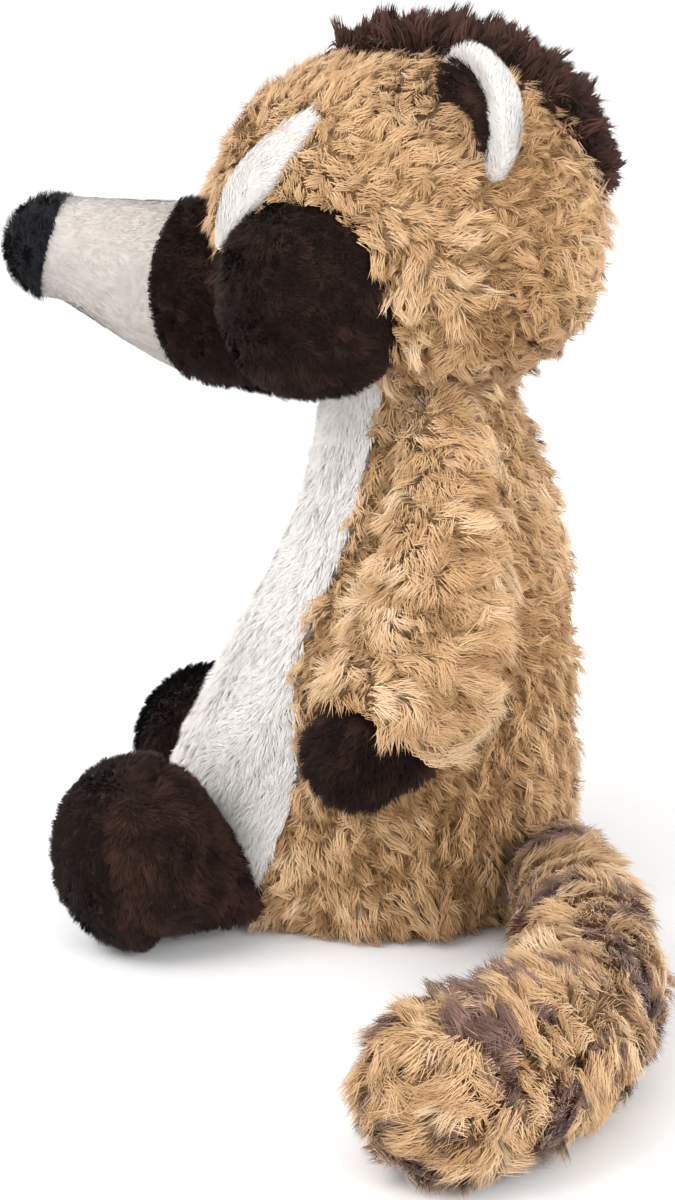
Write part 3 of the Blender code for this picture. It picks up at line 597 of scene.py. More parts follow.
def body_section(height):
    """Middle, half depth and half width of the body at a height: a share of its profiles near the seat."""
    front, back, width = (np.interp(height, BODY_CURVE[:, 0], BODY_CURVE[:, i]) for i in (1, 2, 3))
    low = np.clip(1 - np.asarray(height) / SEAT_ROUNDING, 0, 1)
    share = SEAT_SHARE + (1 - SEAT_SHARE) * np.sqrt(1 - low**2)
    return (front + back) / 2 * share, (back - front) / 2 * share, width * share


def body_points(height, angle, grow=0.0):
    """The body's surface: an oval at each height, moved outwards by an offset."""
    middle, depth, width = body_section(height)
    x, y = (width + grow) * np.cos(angle), middle + (depth + grow) * np.sin(angle)
    return np.stack(np.broadcast_arrays(x, y, height), axis=-1)


def body_value(points, grow=0.0):
    """Below 1 inside the body, and above 1 outside it."""
    middle, depth, width = body_section(points[..., 2])
    value = np.hypot(points[..., 0] / (width + grow), (points[..., 1] - middle) / (depth + grow))
    return np.where(points[..., 2] > BODY_TOP, 9.0, value)


def belly_half_angle(height):
    """Half the angle that the white belly takes of the front, at a height."""
    levels = through(BELLY_HALF_ANGLES[:, None], 80)[:, 0]
    return np.radians(np.interp(height, np.linspace(BELLY_BOTTOM, BODY_TOP, 80), levels))


def on_belly(points, margin=0.0):
    """Whether points lie on the belly's strip, with a margin in metres."""
    middle, depth, width = body_section(points[:, 2])
    angle = np.arctan2((points[:, 1] - middle) / depth, points[:, 0] / width)
    off_front = np.abs((angle - FRONT + math.pi) % FULL_TURN - math.pi)
    half = belly_half_angle(points[:, 2]) + margin / width
    return (off_front < half) & (points[:, 2] > BELLY_BOTTOM - margin)


low_heights = SEAT_ROUNDING * (1 - np.cos(np.linspace(0, math.pi / 2, 10)))
BODY_HEIGHTS = np.concatenate([low_heights, np.linspace(SEAT_ROUNDING, BODY_TOP, 36)[1:]])[:, None]
AROUND = np.linspace(0, FULL_TURN, 72, endpoint=False)[None, :]
print("body is", round(2000 * BODY[0, 3]), "mm wide at the hips")

# %% [markdown]
# ## Tubes
#
# Arms, legs and tail are ovals carried along a smooth line. Each end closes along a quarter of an ellipse.

# %% Tubes
def tube_grid(line, half_wide, half_high, sideways, grow=0.0, rows=36, around=36):
    """Oval rings along a curved line, and then round its two ends down to a pole."""
    smooth = through(np.column_stack([line, half_wide, half_high]), rows)
    middle, wide, high = smooth[:, :3], smooth[:, 3] + grow, smooth[:, 4] + grow
    along = unit(np.gradient(middle, axis=0))
    across = unit(np.cross(along, np.cross(np.asarray(sideways, float), along)))
    upward = np.cross(along, across)
    turn = np.linspace(0, FULL_TURN, around, endpoint=False)
    oval = (
        np.cos(turn)[None, :, None] * (wide[:, None] * across)[:, None]
        + np.sin(turn)[None, :, None] * (high[:, None] * upward)[:, None]
    )
    angle = np.linspace(math.pi / 2, 0, 12)[:-1, None, None]
    reach = (wide + high) / 2
    start = middle[0] - np.sin(angle) * reach[0] * along[0] + np.cos(angle) * oval[0]
    end = middle[-1] + np.sin(angle) * reach[-1] * along[-1] + np.cos(angle) * oval[-1]
    return np.concatenate([start, middle[:, None] + oval, end[::-1]])


ARM_LINE = np.array(((44, 24, 203), (62, 27, 165), (76, 23, 128), (83, 10, 100), (85, -3, 84))) * MM
ARM_THICK = np.array((13, 17, 20, 21, 18)) * MM
ARM_DEEP = np.array((14, 21, 28, 27, 21)) * MM
WRIST_SHARE = 0.75
TAIL_LINE = np.array((
    (0, 52), (30, 69), (72, 79), (112, 84), (150, 86), (184, 80), (212, 63), (232, 43),
)) * MM
TAIL_HALF = np.array((17, 20, 23, 25, 26, 27, 29, 29)) * MM


def arm_grid(side, grow):
    """A whole arm with its paw."""
    return tube_grid(ARM_LINE * (side, 1, 1), ARM_THICK, ARM_DEEP, (1.0, 0, 0), grow)


def wrist(side):
    """A point on the seam round the wrist, and the direction down the arm there."""
    line = through(ARM_LINE * (side, 1, 1), 101)
    seam = int(round(WRIST_SHARE * 100))
    return line[seam], unit(line[seam + 1] - line[seam - 1])


def near_line(points, line, half):
    """The distance of points from a smooth line, over the line's half size there."""
    smooth = through(np.column_stack([line, half]), 60)
    index = nearest(points, smooth[:, :3])
    return np.linalg.norm(points - smooth[index, :3], axis=1) / smooth[index, 3]


# %% [markdown]
# ## One coat
#
# Most pieces get their pile in the same steps: scatter roots, keep the free ones, comb them, grow the
# strands and dress the piece. A root is free where it lies outside the forms that it would sink into.

# %% Coats
def clear_of(places, head=None, body=None, muzzle=None):
    """Whether places lie outside the head, body and muzzle, each moved outwards by so many millimetres."""
    kept = np.ones(len(places), bool)
    if head is not None:
        kept &= egg_value(places, HEAD, head * MM) > 1
    if body is not None:
        kept &= body_value(places, body * MM) > 1
    if muzzle is not None:
        kept &= muzzle_value(places, muzzle * MM) > 1
    return kept


def coat(name, grid, per_mm2, free, towards, style, material, seeds, swirl, wavelength=30 * MM,
         width=0.5 * MM, softness=ROUGH):
    """Pile on a grid where roots are free, combed one way. Its seeds are for the roots, comb and strands."""
    places, normals = scatter(grid, per_mm2, seed=seeds[0])
    kept = free(places, normals)
    places, normals = places[kept], normals[kept]
    comb = combed(places, normals, towards, swirl, wavelength, seed=seeds[1])
    lines, tone = grown(places, normals, comb, style, seed=seeds[2])
    dress(name, lines, normals, tone, width, [material], softness)


# %% [markdown]
# ## Head pile
#
# The head's long pile grows on the whole egg, apart from where other pieces lie: the eye patches, the
# muzzle, the white brow stripes, the mane and the neck. It is combed back from the face and a little down,
# and it swirls, because the hair of a stuffed toy is pressed every way in its carton. The forehead is
# calmer, the hair behind the ears lies in small dark curls, and the hair low beside the mask is brown.

# %% Head
LONG_DEPTH = 5.5 * MM
STRIPE_SHARES = ((0.54, -0.90, -0.03), (0.65, -0.81, 0.20), (0.72, -0.65, 0.43), (0.71, -0.41, 0.69))
STRIPE_HALF_WIDTH = 9.5 * MM
MANE_FROM, MANE_TO = math.radians(112), math.radians(14)
MANE_HALF_WIDTH = 20 * MM


def stripe_profile(side, count=40):
    """The stripe's middle line, from shares of the head's half sizes, and its half widths, a sine's arch."""
    sizes = (side * HEAD["high"][0], HEAD["low"][1], HEAD["high"][2])
    line = HEAD_CENTRE + through(STRIPE_SHARES, count) * sizes
    return line, STRIPE_HALF_WIDTH * np.sin(math.pi * np.linspace(0.06, 0.93, count)) ** 0.7


def on_stripe(points, side, margin=0.0):
    """Whether points of the head lie on a brow stripe."""
    line, half = stripe_profile(side)
    index = nearest(points, line)
    return np.linalg.norm(points - line[index], axis=1) < half[index] + margin


def mane_share(points):
    """How far along the mane points lie, from 0 at its front to 1 at its back."""
    angle = np.arctan2(points[:, 2] - HEAD_CENTRE[2], points[:, 1] - HEAD_CENTRE[1])
    return (MANE_FROM - angle) / (MANE_FROM - MANE_TO)


def mane_taper(share):
    """The mane's width and height along it, over their most: a sine to a low power."""
    return np.clip(np.sin(math.pi * np.clip(0.04 + 0.92 * share, 0, 1)), 0, 1) ** 0.55


def on_mane(points, margin=0.0):
    """Whether points of the head lie under the mane."""
    share = mane_share(points)
    half = MANE_HALF_WIDTH * mane_taper(share)
    return (share > 0) & (share < 1) & (np.abs(points[:, 0]) < half + margin)


head_grid = egg_grid(HEAD, -LONG_DEPTH)
stuffed("head_plush", head_grid, TAN_CLOTH, "head")
places, normals = scatter(head_grid, 1.5, seed=11)
outer = places + LONG_DEPTH * normals
bare = (
    (egg_value(outer, PATCHES["left"], 0.5 * MM) < 1) | (egg_value(outer, PATCHES["right"], 0.5 * MM) < 1)
    | (muzzle_value(outer, 0.5 * MM) < 1) | (body_value(outer, -3 * MM) < 1)
    | on_stripe(outer, 1, -1 * MM) | on_stripe(outer, -1, -1 * MM) | on_mane(outer, -2 * MM)
)
places, normals = places[~bare], normals[~bare]
comb = combed(places, normals, (0.0, 0.75, -0.5), swirl=0.8, wavelength=38 * MM, seed=12)
curly = places[:, 1] + 7 * MM * wander(places, 26 * MM, seed=14) > 38 * MM
high = places[:, 2] - HEAD_CENTRE[2] - 0.4 * places[:, 1]
calm = 1 / (1 + np.exp(-high[~curly] / (8 * MM)))
combed_style = {
    **LONG, "relief": 0.28 - 0.16 * calm, "spread": 0.18 - 0.1 * calm, "lock_turn": 0.5 - 0.25 * calm,
    "tone": 0.48 + 0.04 * calm,
}
by_mask = ((places[:, 1] < -44 * MM) & (places[:, 2] < HEAD_CENTRE[2] - 2 * MM)).astype(int)
behind = {**CURLY, "tone": 0.16 + 0.3 * np.clip((places[curly][:, 1] - 58 * MM) / (14 * MM), 0, 1)}
patches = []
for zone, style in ((curly, behind), (~curly, combed_style)):
    lines, tone = grown(places[zone], normals[zone], comb[zone], style, seed=13)
    patches.append((lines, normals[zone], tone, by_mask[zone]))
lines, normals, tone, kind = (np.concatenate(parts) for parts in zip(*patches))
dress("head_pile", lines, normals, tone, 0.52 * MM, [TAN_PILE, BROWN_PILE], kind=kind)

# %% [markdown]
# ## Torso pile
#
# The back of the body has the same fabric, combed down, in small locks. No hair grows on the seat, on the
# white belly, or where the arms are sewn on. Its tone is darkened by painted shade beside each arm and low
# on the back.

# %% Torso
body_rings = body_points(BODY_HEIGHTS, AROUND, -LONG_DEPTH)
stuffed("torso_plush", with_poles(body_rings), TAN_CLOTH, "torso")
places, normals = scatter(with_poles(body_rings), 0.98, seed=21)
off_arm = np.minimum(
    near_line(places, ARM_LINE, ARM_DEEP), near_line(places, ARM_LINE * (-1, 1, 1), ARM_DEEP)
)
bare = (
    (normals[:, 2] < -0.9) | (normals[:, 2] > 0.9) | (egg_value(places, HEAD, -9 * MM) < 1)
    | on_belly(places, -1.5 * MM) | (off_arm < 0.65)
)
places, normals, off_arm = places[~bare], normals[~bare], off_arm[~bare]
comb = combed(places, normals, (0.0, 0.15, -1.0), swirl=0.45, wavelength=36 * MM, seed=22)
# Painted shade: the pile's tone is darkened beside each arm and low on the back.
in_shade = -0.42 * np.exp(-(((off_arm - 0.9) / 0.4) ** 2))
low = np.clip((150 * MM - places[:, 2]) / (30 * MM), 0, 1)
low_back_shade = np.clip((places[:, 1] + 10 * MM) / (20 * MM), 0, 1) * low
lines, tone = grown(places, normals, comb, BACK, seed=23, shade=in_shade - 0.16 * low_back_shade)
dress("torso_pile", lines, normals, tone, 0.58 * MM, [TAN_PILE])

# %% [markdown]
# ## Belly
#
# The belly is a padded strip that follows the pear. Its section is a slab: across its outer face, then back
# across its inner face.

# %% Belly
BELLY_DEPTH = 1.6 * MM


def belly_grid(proud, depth):
    """The white strip as rings round a slab, from its lower end to its upper end."""
    height = np.linspace(BELLY_BOTTOM + 1 * MM, BODY_TOP - 1 * MM, 36)[:, None]
    share = np.linspace(-1, 1, 33)[None, :]
    angle = FRONT + share * belly_half_angle(height)
    crown = np.sqrt(np.clip(1 - share**8, 0, 1))
    inset = proud * crown - depth * (1 - crown)
    outer = body_points(height, angle, inset)
    inner = body_points(height, angle[:, ::-1], -depth)
    return np.concatenate([outer, inner], axis=1)


belly_rings = with_poles(belly_grid(-BELLY_DEPTH, 5.7 * MM))
stuffed("belly_plush", belly_rings, WHITE_CLOTH, "belly_panel")
coat("belly_pile", with_poles(body_points(BODY_HEIGHTS, AROUND, -BELLY_DEPTH)), 1.8,
     lambda p, n: on_belly(p, -0.5 * MM) & clear_of(p, head=-6, muzzle=0) & (np.abs(n[:, 2]) < 0.9),
     (0.0, -0.1, -1.0), CALM, WHITE_PILE, (31, 32, 33),
     swirl=0.3, width=0.52 * MM, softness=FLAT)

# %% [markdown]
# ## Arms and paws
#
# Each arm is one stuffed tube, and a seam round the wrist parts the tan arm from its dark paw. The long pile
# is combed back across the arm, and the paw has short pile that runs to its tip.

# %% Arms
PAW_DEPTH = 2.6 * MM


def parted(grid, point, normal):
    """A grid that ends at a plane: what lies beyond it is laid flat on it, and drawn in to the middle."""
    beyond = np.maximum((grid - point) @ normal, 0)[..., None]
    flat = grid - beyond * normal
    return point + (flat - point) * np.where(beyond > 0, np.clip(1 - beyond / (8 * MM), 0, 1), 1)


def gathered(grid, point, normal):
    """A tube drawn in at a seam: each ring shrinks towards its middle, by less the farther past the seam."""
    past = np.maximum((grid - point) @ normal, 0)[..., None]
    middle = grid.mean(axis=1, keepdims=True)
    return middle + (grid - middle) * (1 - 0.28 * np.exp(-past / (5 * MM)))


for side, suffix in SIDES:
    point, down = wrist(side)
    grid = arm_grid(side, -LONG_DEPTH)
    paw = gathered(arm_grid(side, -PAW_DEPTH), point, down)
    stuffed(f"arm_{suffix}_plush", parted(grid, point, down), TAN_CLOTH, "arm_" + suffix)
    stuffed(f"paw_{suffix}_plush", parted(paw, point, -down), BROWN_CLOTH, "paw_" + suffix)
    coat(f"arm_{suffix}_pile", grid, 1.7,
         lambda p, n: ((p - point) @ down < 1.5 * MM) & clear_of(p, head=-8, body=-4),
         (0.0, 0.75, -0.55), ARM, TAN_PILE, (41 + side, 44, 45 + side),
         swirl=0.55, wavelength=40 * MM, width=0.55 * MM)
    coat(f"paw_{suffix}_pile", paw, 2.4, lambda p, n: ((p - point) @ down > 0.5 * MM) & clear_of(p, body=-2),
         down, {**SHORT, "length": 5 * MM}, BROWN_PILE, (51 + side, 54, 55 + side),
         swirl=0.25)

# %% [markdown]
# ## Face
#
# The eye patches, the mask round the muzzle, the snout, the nose and the chin are all velboa: pile so short
# that it reads as a soft nap. Its hairs still cross each seam, so that no colour ends in a clean line.

# %% Eye patches
SHORT_DEPTH = 1.6 * MM
for side, suffix in SIDES:
    grid = egg_grid(PATCHES[suffix], -SHORT_DEPTH)
    stuffed(f"eye_patch_{suffix}_plush", grid, BROWN_CLOTH, "eye_patch_" + suffix)
    coat(f"eye_patch_{suffix}_pile", grid, 2.6, lambda p, n: clear_of(p, head=-8, body=-2, muzzle=-1),
         (0.0, 0.7, -0.5), SHORT, BROWN_PILE, (61 + side, 63, 64 + side),
         swirl=0.6, wavelength=34 * MM)

# %% Nose, snout and mask
MUZZLE_PIECES = {
    "nose": ((NOSE_TIP[1], NOSE_SEAM_Y, 0.0, SEAM_LEAN), BLACK_CLOTH, BLACK_PILE, "black_velboa", SHORT),
    "snout": ((NOSE_SEAM_Y, SNOUT_SEAM_Y, SEAM_LEAN, 0.0), CREAM_CLOTH, CREAM_PILE, "cream_velboa", SMOOTH),
    "mask_band": ((SNOUT_SEAM_Y, MUZZLE[-1, 0], 0.0, 0.0), BROWN_CLOTH, BROWN_PILE, "brown_velboa", SHORT),
}


def on_muzzle(places, normals):
    """Whether roots lie on the muzzle's outside: off the head, and off the flat ends at its seams."""
    forward = (normals[:, 1] > -0.97) | (places[:, 1] < NOSE_SEAM_Y - 8 * MM)
    return clear_of(places, head=-6) & (normals[:, 1] < 0.9) & forward


for name, (seams, ground, hair, slot, style) in MUZZLE_PIECES.items():
    grid = with_poles(muzzle_stretch(*seams, grow=-SHORT_DEPTH))
    stuffed(name + "_plush", grid, ground, name)
    coat(name + "_pile", grid, 2.4, on_muzzle, (0.0, 1.0, -0.15), style, hair,
         (71 + len(name), 73, 74), swirl=0.35, softness=FLAT)

# %% [markdown]
# The dark chin and the white brow stripes are strips that follow the head. A strip is laid out by directions
# from the head's centre, and each direction is scaled to meet the egg. The mane's ridge is one too.

# %% Chin and brow stripes
def on_head(directions, out):
    """Where rays from the head's centre meet its egg, moved outwards by an offset."""
    rays = unit(directions)
    reach = rays / egg_value(HEAD_CENTRE + rays, HEAD)[..., None]
    return HEAD_CENTRE + reach + rays * np.asarray(out)[..., None]


def slab_on_head(directions, out, deep):
    """Rings round a slab on the head: over its outer face, and back along its inner face."""
    inner = on_head(directions[:, ::-1], np.full(directions.shape[:2], -deep))
    return with_poles(np.concatenate([on_head(directions, out), inner], axis=1))


def mid_directions(angle, half, columns):
    """Directions at angles in the toy's middle plane, and both ways across it."""
    middle = np.stack([0 * angle, np.cos(angle), np.sin(angle)], axis=-1)
    spread = np.linspace(-1, 1, columns)
    return middle[:, None] + (half[:, None] * spread)[..., None] * np.array((1.0, 0, 0))


def stripe_directions(side):
    """Directions to the brow stripe: its middle line, and both ways across it."""
    line, half = stripe_profile(side, 36)
    along = unit(np.gradient(line, axis=0))
    across = unit(np.cross(along, unit(line - HEAD_CENTRE)))
    spread = (half[:, None] * np.linspace(-1, 1, 17))[..., None]
    return line[:, None] + across[:, None] * spread - HEAD_CENTRE


def strip_of_pile(name, node, directions, proud, ground, hair, seed, style):
    """A strip with its skin, rounded off to its long edges, and its short pile."""
    deep = 3.5 * MM
    crown = np.sqrt(1 - 0.95 * np.linspace(-1, 1, directions.shape[1])**6) * np.ones(directions.shape[:2])
    grid = slab_on_head(directions, (proud - 1.2 * MM + deep) * crown - deep, deep)
    stuffed(name + "_plush", grid, ground, node)

    def free(places, normals):
        """Whether roots lie on the strip's outside, and off the muzzle and the eye patches."""
        outside = np.sum(normals * (places - HEAD_CENTRE), axis=1) > 0
        kept = clear_of(places, head=-2.5, muzzle=-1) & outside
        return kept & (egg_value(places, PATCHES["left"]) > 1) & (egg_value(places, PATCHES["right"]) > 1)

    coat(name + "_pile", grid, 2.6, free, (0.0, 0.8, 0.6), style, hair, (seed, seed + 1, seed + 2),
         swirl=0.2, softness=FLAT)


for side, suffix in SIDES:
    strip_of_pile("brow_stripe_" + suffix, "brow_stripe_" + suffix, stripe_directions(side), 1.8 * MM,
                  WHITE_CLOTH, WHITE_PILE, 81 + side, {**SMOOTH, "length": 3.5 * MM})
chin = mid_directions(np.radians(np.linspace(228, 262, 24)), np.linspace(1.0, 0.75, 24) * 27 / 62, 25)
strip_of_pile("chin", "chin_patch", chin, 1.5 * MM, BROWN_CLOTH, BROWN_PILE, 85, SHORT)

# %% [markdown]
# ## Eyes
#
# Each eye is a small domed button of black plastic. It is the one hard and glossy piece, so it carries the
# sharp highlight that brings the face alive.

# %% Eyes
EYE_RADIUS = 6 * MM
EYE_HALF_THICKNESS = 3.5 * MM
eye_plastic, eye_tree, eye_shader = nodes_of("eye_plastic", 0.06)
tint(eye_tree, eye_shader, noise(eye_tree, 300), (0.006, 0.005, 0.005), (0.012, 0.009, 0.008))
eye_shader.inputs["Specular IOR Level"].default_value = 0.5
eye_shader.inputs["Coat Weight"].default_value = 0.6
for side, suffix in SIDES:
    patch = PATCHES[suffix]
    forward = unit(np.array((-0.3 * side, -0.93, 0.2)))
    place = patch["centre"] + forward / egg_value(patch["centre"] + forward, patch)
    across = unit(np.cross(forward, (0, 0, 1.0)))
    upward = np.cross(across, forward)
    polar = np.linspace(0, math.pi, 24)[:, None, None]
    turn = np.linspace(0, FULL_TURN, 40, endpoint=False)[None, :, None]
    round_part = EYE_RADIUS * np.sin(polar) * (np.cos(turn) * across + np.sin(turn) * upward)
    dome = place + round_part + EYE_HALF_THICKNESS * np.cos(polar) * forward
    eye = skin_mesh(f"eye_{suffix}_button", dome, eye_plastic)
    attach(eye, "root")
    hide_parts("eye_" + suffix)

# %% [markdown]
# ## Ears
#
# An ear is a cupped oval sheet: thick white fabric behind and round the rim, and a dark furry lining in the
# cup. Its wall closes to nothing at the rim along a curve of the fourth power, which keeps the rim plump.

# %% Ears
EAR_HALF_WIDTH, EAR_HALF_HEIGHT, EAR_WALL, EAR_CUP = (value * MM for value in (22, 27, 12, 9))
EAR_LEAN, EAR_TURN = math.radians(20), math.radians(38)
EAR_INSET = 1 - 1.2 * MM / EAR_HALF_WIDTH
LINING_SHARE, LINING_SHIFT = 0.7, 5 * MM


def ear_point(side, share, turn, wall, out, shift=0.0):
    """Points of the ear's cupped sheet, moved towards its opening by a part of its wall and by an offset."""
    up = np.array((side * math.sin(EAR_LEAN), 0.0, math.cos(EAR_LEAN)))
    opening = np.array((side * math.sin(EAR_TURN), -math.cos(EAR_TURN), 0.0))
    across = unit(np.cross(up, opening))
    opening = np.cross(across, up)
    centre = np.array((side * 53, 35, 316)) * MM
    sideways = EAR_HALF_WIDTH * share * np.cos(turn) - side * shift
    upwards = EAR_HALF_HEIGHT * share * np.sin(turn)
    place = np.hypot(sideways / EAR_HALF_WIDTH, upwards / EAR_HALF_HEIGHT)
    thick = EAR_WALL / 2 * np.sqrt(np.clip(1 - (place / EAR_INSET) ** 4, 0, 1))
    inward = EAR_CUP * (1 - place**2) - wall * thick - out
    return centre + sideways[..., None] * across + upwards[..., None] * up - inward[..., None] * opening


def ear_grid(side, shares, walls, outs, shift=0.0):
    """A closed skin between two offsets of the sheet, from the middle of its face round to its back."""
    turn = np.linspace(0, FULL_TURN, 56, endpoint=False)[None, :] + 0 * shares[:, None]
    share = shares[:, None] + 0 * turn
    face = ear_point(side, share, turn, walls[0], outs[0](share), shift)
    rear = ear_point(side, share[:-1], turn[:-1], walls[1], outs[1](share[:-1]), shift)
    return with_poles(np.concatenate([face, rear[::-1]]))


def lining_face(share):
    """The lining's outer face: a pad that thins to its edge."""
    edge = np.clip(1 - (share / LINING_SHARE) ** 4, 0, 1)
    return 1.1 * MM * (0.25 + 0.75 * np.sqrt(edge))


def lining_back(share):
    """The lining's inner face, a little inside the ear's own wall."""
    return np.full_like(share, -0.8 * MM)


def off_head(places, normals):
    """Whether roots lie outside the head."""
    return clear_of(places, head=-3)


for side, suffix in SIDES:
    shares = EAR_INSET * np.sin(np.linspace(0.02, math.pi / 2, 22))
    grid = ear_grid(side, shares, (1, -1), (np.zeros_like, np.zeros_like))
    stuffed(f"ear_{suffix}_plush", grid, WHITE_CLOTH, "ear_" + suffix)
    coat(f"ear_{suffix}_pile", grid, 2.2, off_head, (0.0, 0.3, 1.0),
         {**SMOOTH, "length": 3.5 * MM, "lean": 1.2}, WHITE_PILE,
         (91 + side, 92, 93 + side), swirl=0.3, softness=FLAT)
    shares = LINING_SHARE * np.sin(np.linspace(0.02, math.pi / 2, 18))
    grid = ear_grid(side, shares, (1, 1), (lining_face, lining_back), LINING_SHIFT)
    stuffed(f"ear_lining_{suffix}_plush", grid, BROWN_CLOTH, "ear_lining_" + suffix)
    coat(f"ear_lining_{suffix}_pile", grid, 4.0, off_head, (-side * 0.3, -0.7, 0.4),
         {**SHORT, "length": 4 * MM, "tone": 0.6}, BROWN_PILE,
         (95 + side, 96, 97 + side), swirl=0.6, wavelength=20 * MM)

# %% [markdown]
# ## Mane
#
# The mane is a low ridge of cloth along the middle of the head, with the most upright pile of the toy. Its
# tufts part from each other and lean every way.

# %% Mane
mane_places = np.linspace(0, 1, 60)
taper = mane_taper(mane_places)
directions = mid_directions(MANE_FROM + mane_places * (MANE_TO - MANE_FROM),
                            (MANE_HALF_WIDTH - 2 * MM) / (69 * MM) * taper, 21)
crown = (3 * MM * taper)[:, None] * np.sqrt(1 - 0.98 * np.linspace(-1, 1, 21)**2)
grid = slab_on_head(directions, crown, 4 * MM)
stuffed("mane_plush", grid, BROWN_CLOTH, "mane")
places, normals = scatter(grid, 1.7, seed=101)
kept = off_head(places, normals)
places, normals = places[kept], normals[kept]
share = np.clip(mane_share(places), 0, 1)
comb = combed(places, normals, (0.0, 0.6, -0.2), swirl=1.3, wavelength=26 * MM, seed=102)
tall = 0.55 + 0.75 * np.sin(math.pi * (0.06 + 0.94 * share)) ** 0.5 * (1 - 0.5 * share)
lines, tone = grown(places, normals, comb, {**TALL, "length": 8.5 * MM * tall}, seed=103)
dress("mane_pile", lines, normals, tone, 0.65 * MM, [MANE_PILE], softness=0.5)

# %% [markdown]
# ## Legs and feet
#
# The feet are round dark cushions, and each leg runs from behind its foot back to the hip. Both have short
# pile, which is a tone lighter behind the round sole.

# %% Legs and feet
FOOT_DEPTH = 1.8 * MM
FOOT_BEFORE, FOOT_BEHIND = np.array((34, 36, 38.5)) * MM, np.array((34, 10, 38.5)) * MM
FEET = {"left": (76, -85, 38.5), "right": (-35, -76, 38.5)}
LEG_WIDE, LEG_HIGH = np.array((33, 25.5, 18)) * MM, np.array((37, 22.5, 8)) * MM
for side, suffix in SIDES:
    x, y, z = FEET[suffix]
    foot = {"centre": np.array((x, y, z)) * MM, "power": 2.15, "low": FOOT_BEFORE, "high": FOOT_BEHIND}
    hip = np.array((side * 50, -48, 13))
    leg_line = np.array(((x, y, 37), ((x + hip[0]) / 2, (y + hip[1]) / 2, 25), hip)) * MM
    foot_grid = egg_grid(foot, -FOOT_DEPTH)
    leg_grid = tube_grid(leg_line, LEG_WIDE, LEG_HIGH, (1.0, 0, 0), -FOOT_DEPTH)
    stuffed(f"foot_{suffix}_plush", foot_grid, BROWN_CLOTH, "foot_" + suffix)
    stuffed(f"leg_{suffix}_plush", leg_grid, BROWN_CLOTH, "leg_" + suffix)
    roots = []
    for grid, seed in ((foot_grid, 111 + side), (leg_grid, 113 + side)):
        places, normals = scatter(grid, 2.1, seed=seed)
        apart = places[:, 1] < (y + 6) * MM if grid is foot_grid else egg_value(places, foot) > 0.98
        kept = clear_of(places, body=-3) & apart
        roots.append((places[kept], normals[kept]))
    places, normals = (np.concatenate(parts) for parts in zip(*roots))
    comb = combed(places, normals, (0.0, 0.5, -0.7), swirl=0.6, wavelength=40 * MM, seed=115)
    upper = 0.15 * np.tanh((places[:, 1] - (y - 8) * MM) / (2 * MM))
    lines, tone = grown(places, normals, comb, SHORT, seed=116 + side, shade=upper)
    dress(f"leg_{suffix}_pile", lines, normals, tone, 0.5 * MM, [BROWN_PILE])

# %% [markdown]
# ## Tail
#
# The tail lies on the floor, curled round the left side. It has the longest pile, which stands outwards and
# back towards the tip. Each strand is tan or has a dark end: it is dark near five rings along the tail,
# whose edges noise makes ragged, and in scattered spots near the tip.

# %% Tail
TAIL_DEPTH = 7 * MM
RINGS_AT, RING_REACH = (0.0, 0.22, 0.42, 0.63, 0.92), 0.055
tail_line = np.column_stack([TAIL_LINE, TAIL_HALF])
tail_grid = tube_grid(tail_line, TAIL_HALF, TAIL_HALF, (0, 1.0, 0), -TAIL_DEPTH, rows=60, around=40)
stuffed("tail_plush", tail_grid, TAIL_CLOTH, "tail")
places, normals = scatter(tail_grid, 1.75, seed=121)
kept = clear_of(places, body=-3) & (normals[:, 2] > -0.96)
places, normals = places[kept], normals[kept]
smooth_tail = through(tail_line, 200)
station = nearest(places, smooth_tail)
direction = unit(np.gradient(smooth_tail, axis=0))[station]
comb = combed(places, normals, direction, swirl=0.9, wavelength=30 * MM, seed=122)
lines, tone = grown(places, normals, comb, FLUFFY, seed=123)
along_tail = station / 199 + 0.018 * wander(places, 18 * MM, seed=124)
rings = np.max([np.exp(-(((along_tail - spot) / RING_REACH) ** 2)) for spot in RINGS_AT], axis=0)
mottle = 0.35 * wander(places, 20 * MM, seed=125) + 0.10 * wander(places, 4 * MM, seed=126)
lengthwise = direction * np.sum(places * direction, axis=1, keepdims=True)
spots = wander(places - 0.6 * lengthwise, 10 * MM, seed=127)
dark = ((rings + mottle > 0.74) | ((along_tail > 0.7) & (spots > 1.1))).astype(int)
dress("tail_pile", lines, normals, tone, 0.5 * MM, [TAN_PILE, BANDED_PILE], kind=dark)

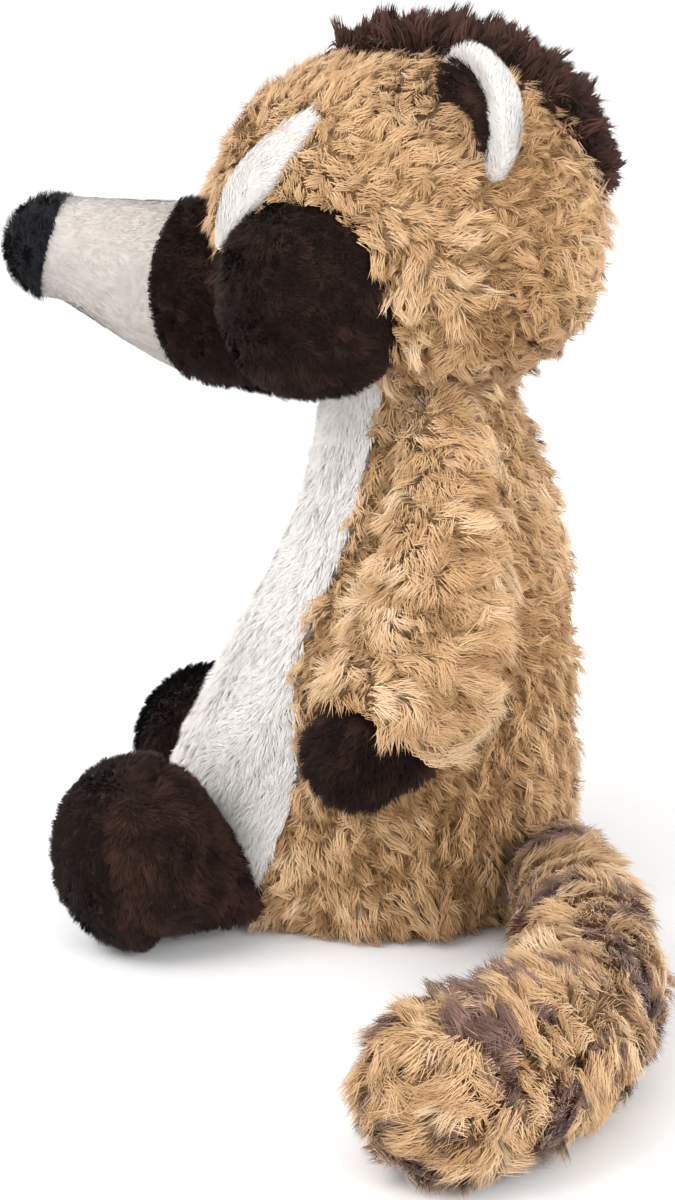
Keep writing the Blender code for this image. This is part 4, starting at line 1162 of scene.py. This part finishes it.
# %% [markdown]
# ## Floor, light and camera
#
# The toy sits on a plain pale floor. One large soft lamp from above its left front shapes it, a weaker one
# stands behind it on the same side, and pale surroundings keep the shadows open. The camera looks at its
# left side.

# %% Floor
floor_material, floor_tree, floor_shader = nodes_of("floor_paper", 0.9)
tint(floor_tree, floor_shader, noise(floor_tree, 3), (0.93, 0.93, 0.93), (0.94, 0.94, 0.94))
reach = 12.0
floor_corners = [(-reach, -reach, 0), (reach, -reach, 0), (reach, reach, 0), (-reach, reach, 0)]
floor_mesh = bpy.data.meshes.new("floor")
floor_mesh.from_pydata(floor_corners, [], [(0, 1, 2, 3)])
link("floor", floor_mesh, floor_material)


# %% Light
LAMP_SIZE, LAMP_AIM = 0.9, Vector((0, 0, 0.15))


def lamp(name, place, power):
    """A square area lamp that faces the toy's middle."""
    data = bpy.data.lights.new(name, "AREA")
    data.size = LAMP_SIZE
    data.energy = power
    thing = bpy.data.objects.new(name, data)
    thing.location = place
    thing.rotation_euler = (LAMP_AIM - Vector(place)).to_track_quat("-Z", "Y").to_euler()
    bpy.context.scene.collection.objects.link(thing)


world = bpy.data.worlds.new("pale_room")
world.use_nodes = True
sky = world.node_tree.nodes["Background"]
sky.inputs["Color"].default_value = (1.0, 1.0, 1.0, 1.0)
sky.inputs["Strength"].default_value = 1.08
bpy.context.scene.world = world
lamp("key", (0.9, -1.1, 1.5), 20)
lamp("back", (1.1, 1.3, 0.9), 14)
bpy.context.scene.view_settings.view_transform = "Standard"

# %% Camera
AZIMUTH, ELEVATION = math.radians(97), math.radians(17)
TARGET, DISTANCE = Vector((0, -0.020, 0.119)), 0.95
outward = Vector((
    math.sin(AZIMUTH) * math.cos(ELEVATION), -math.cos(AZIMUTH) * math.cos(ELEVATION), math.sin(ELEVATION),
))
camera_data = bpy.data.cameras.new("photo_camera")
camera_data.lens = 70.76
camera = bpy.data.objects.new("photo_camera", camera_data)
camera.location = TARGET + DISTANCE * outward
camera.rotation_euler = (-outward).to_track_quat("-Z", "Y").to_euler()
bpy.context.scene.collection.objects.link(camera)
bpy.context.scene.camera = camera
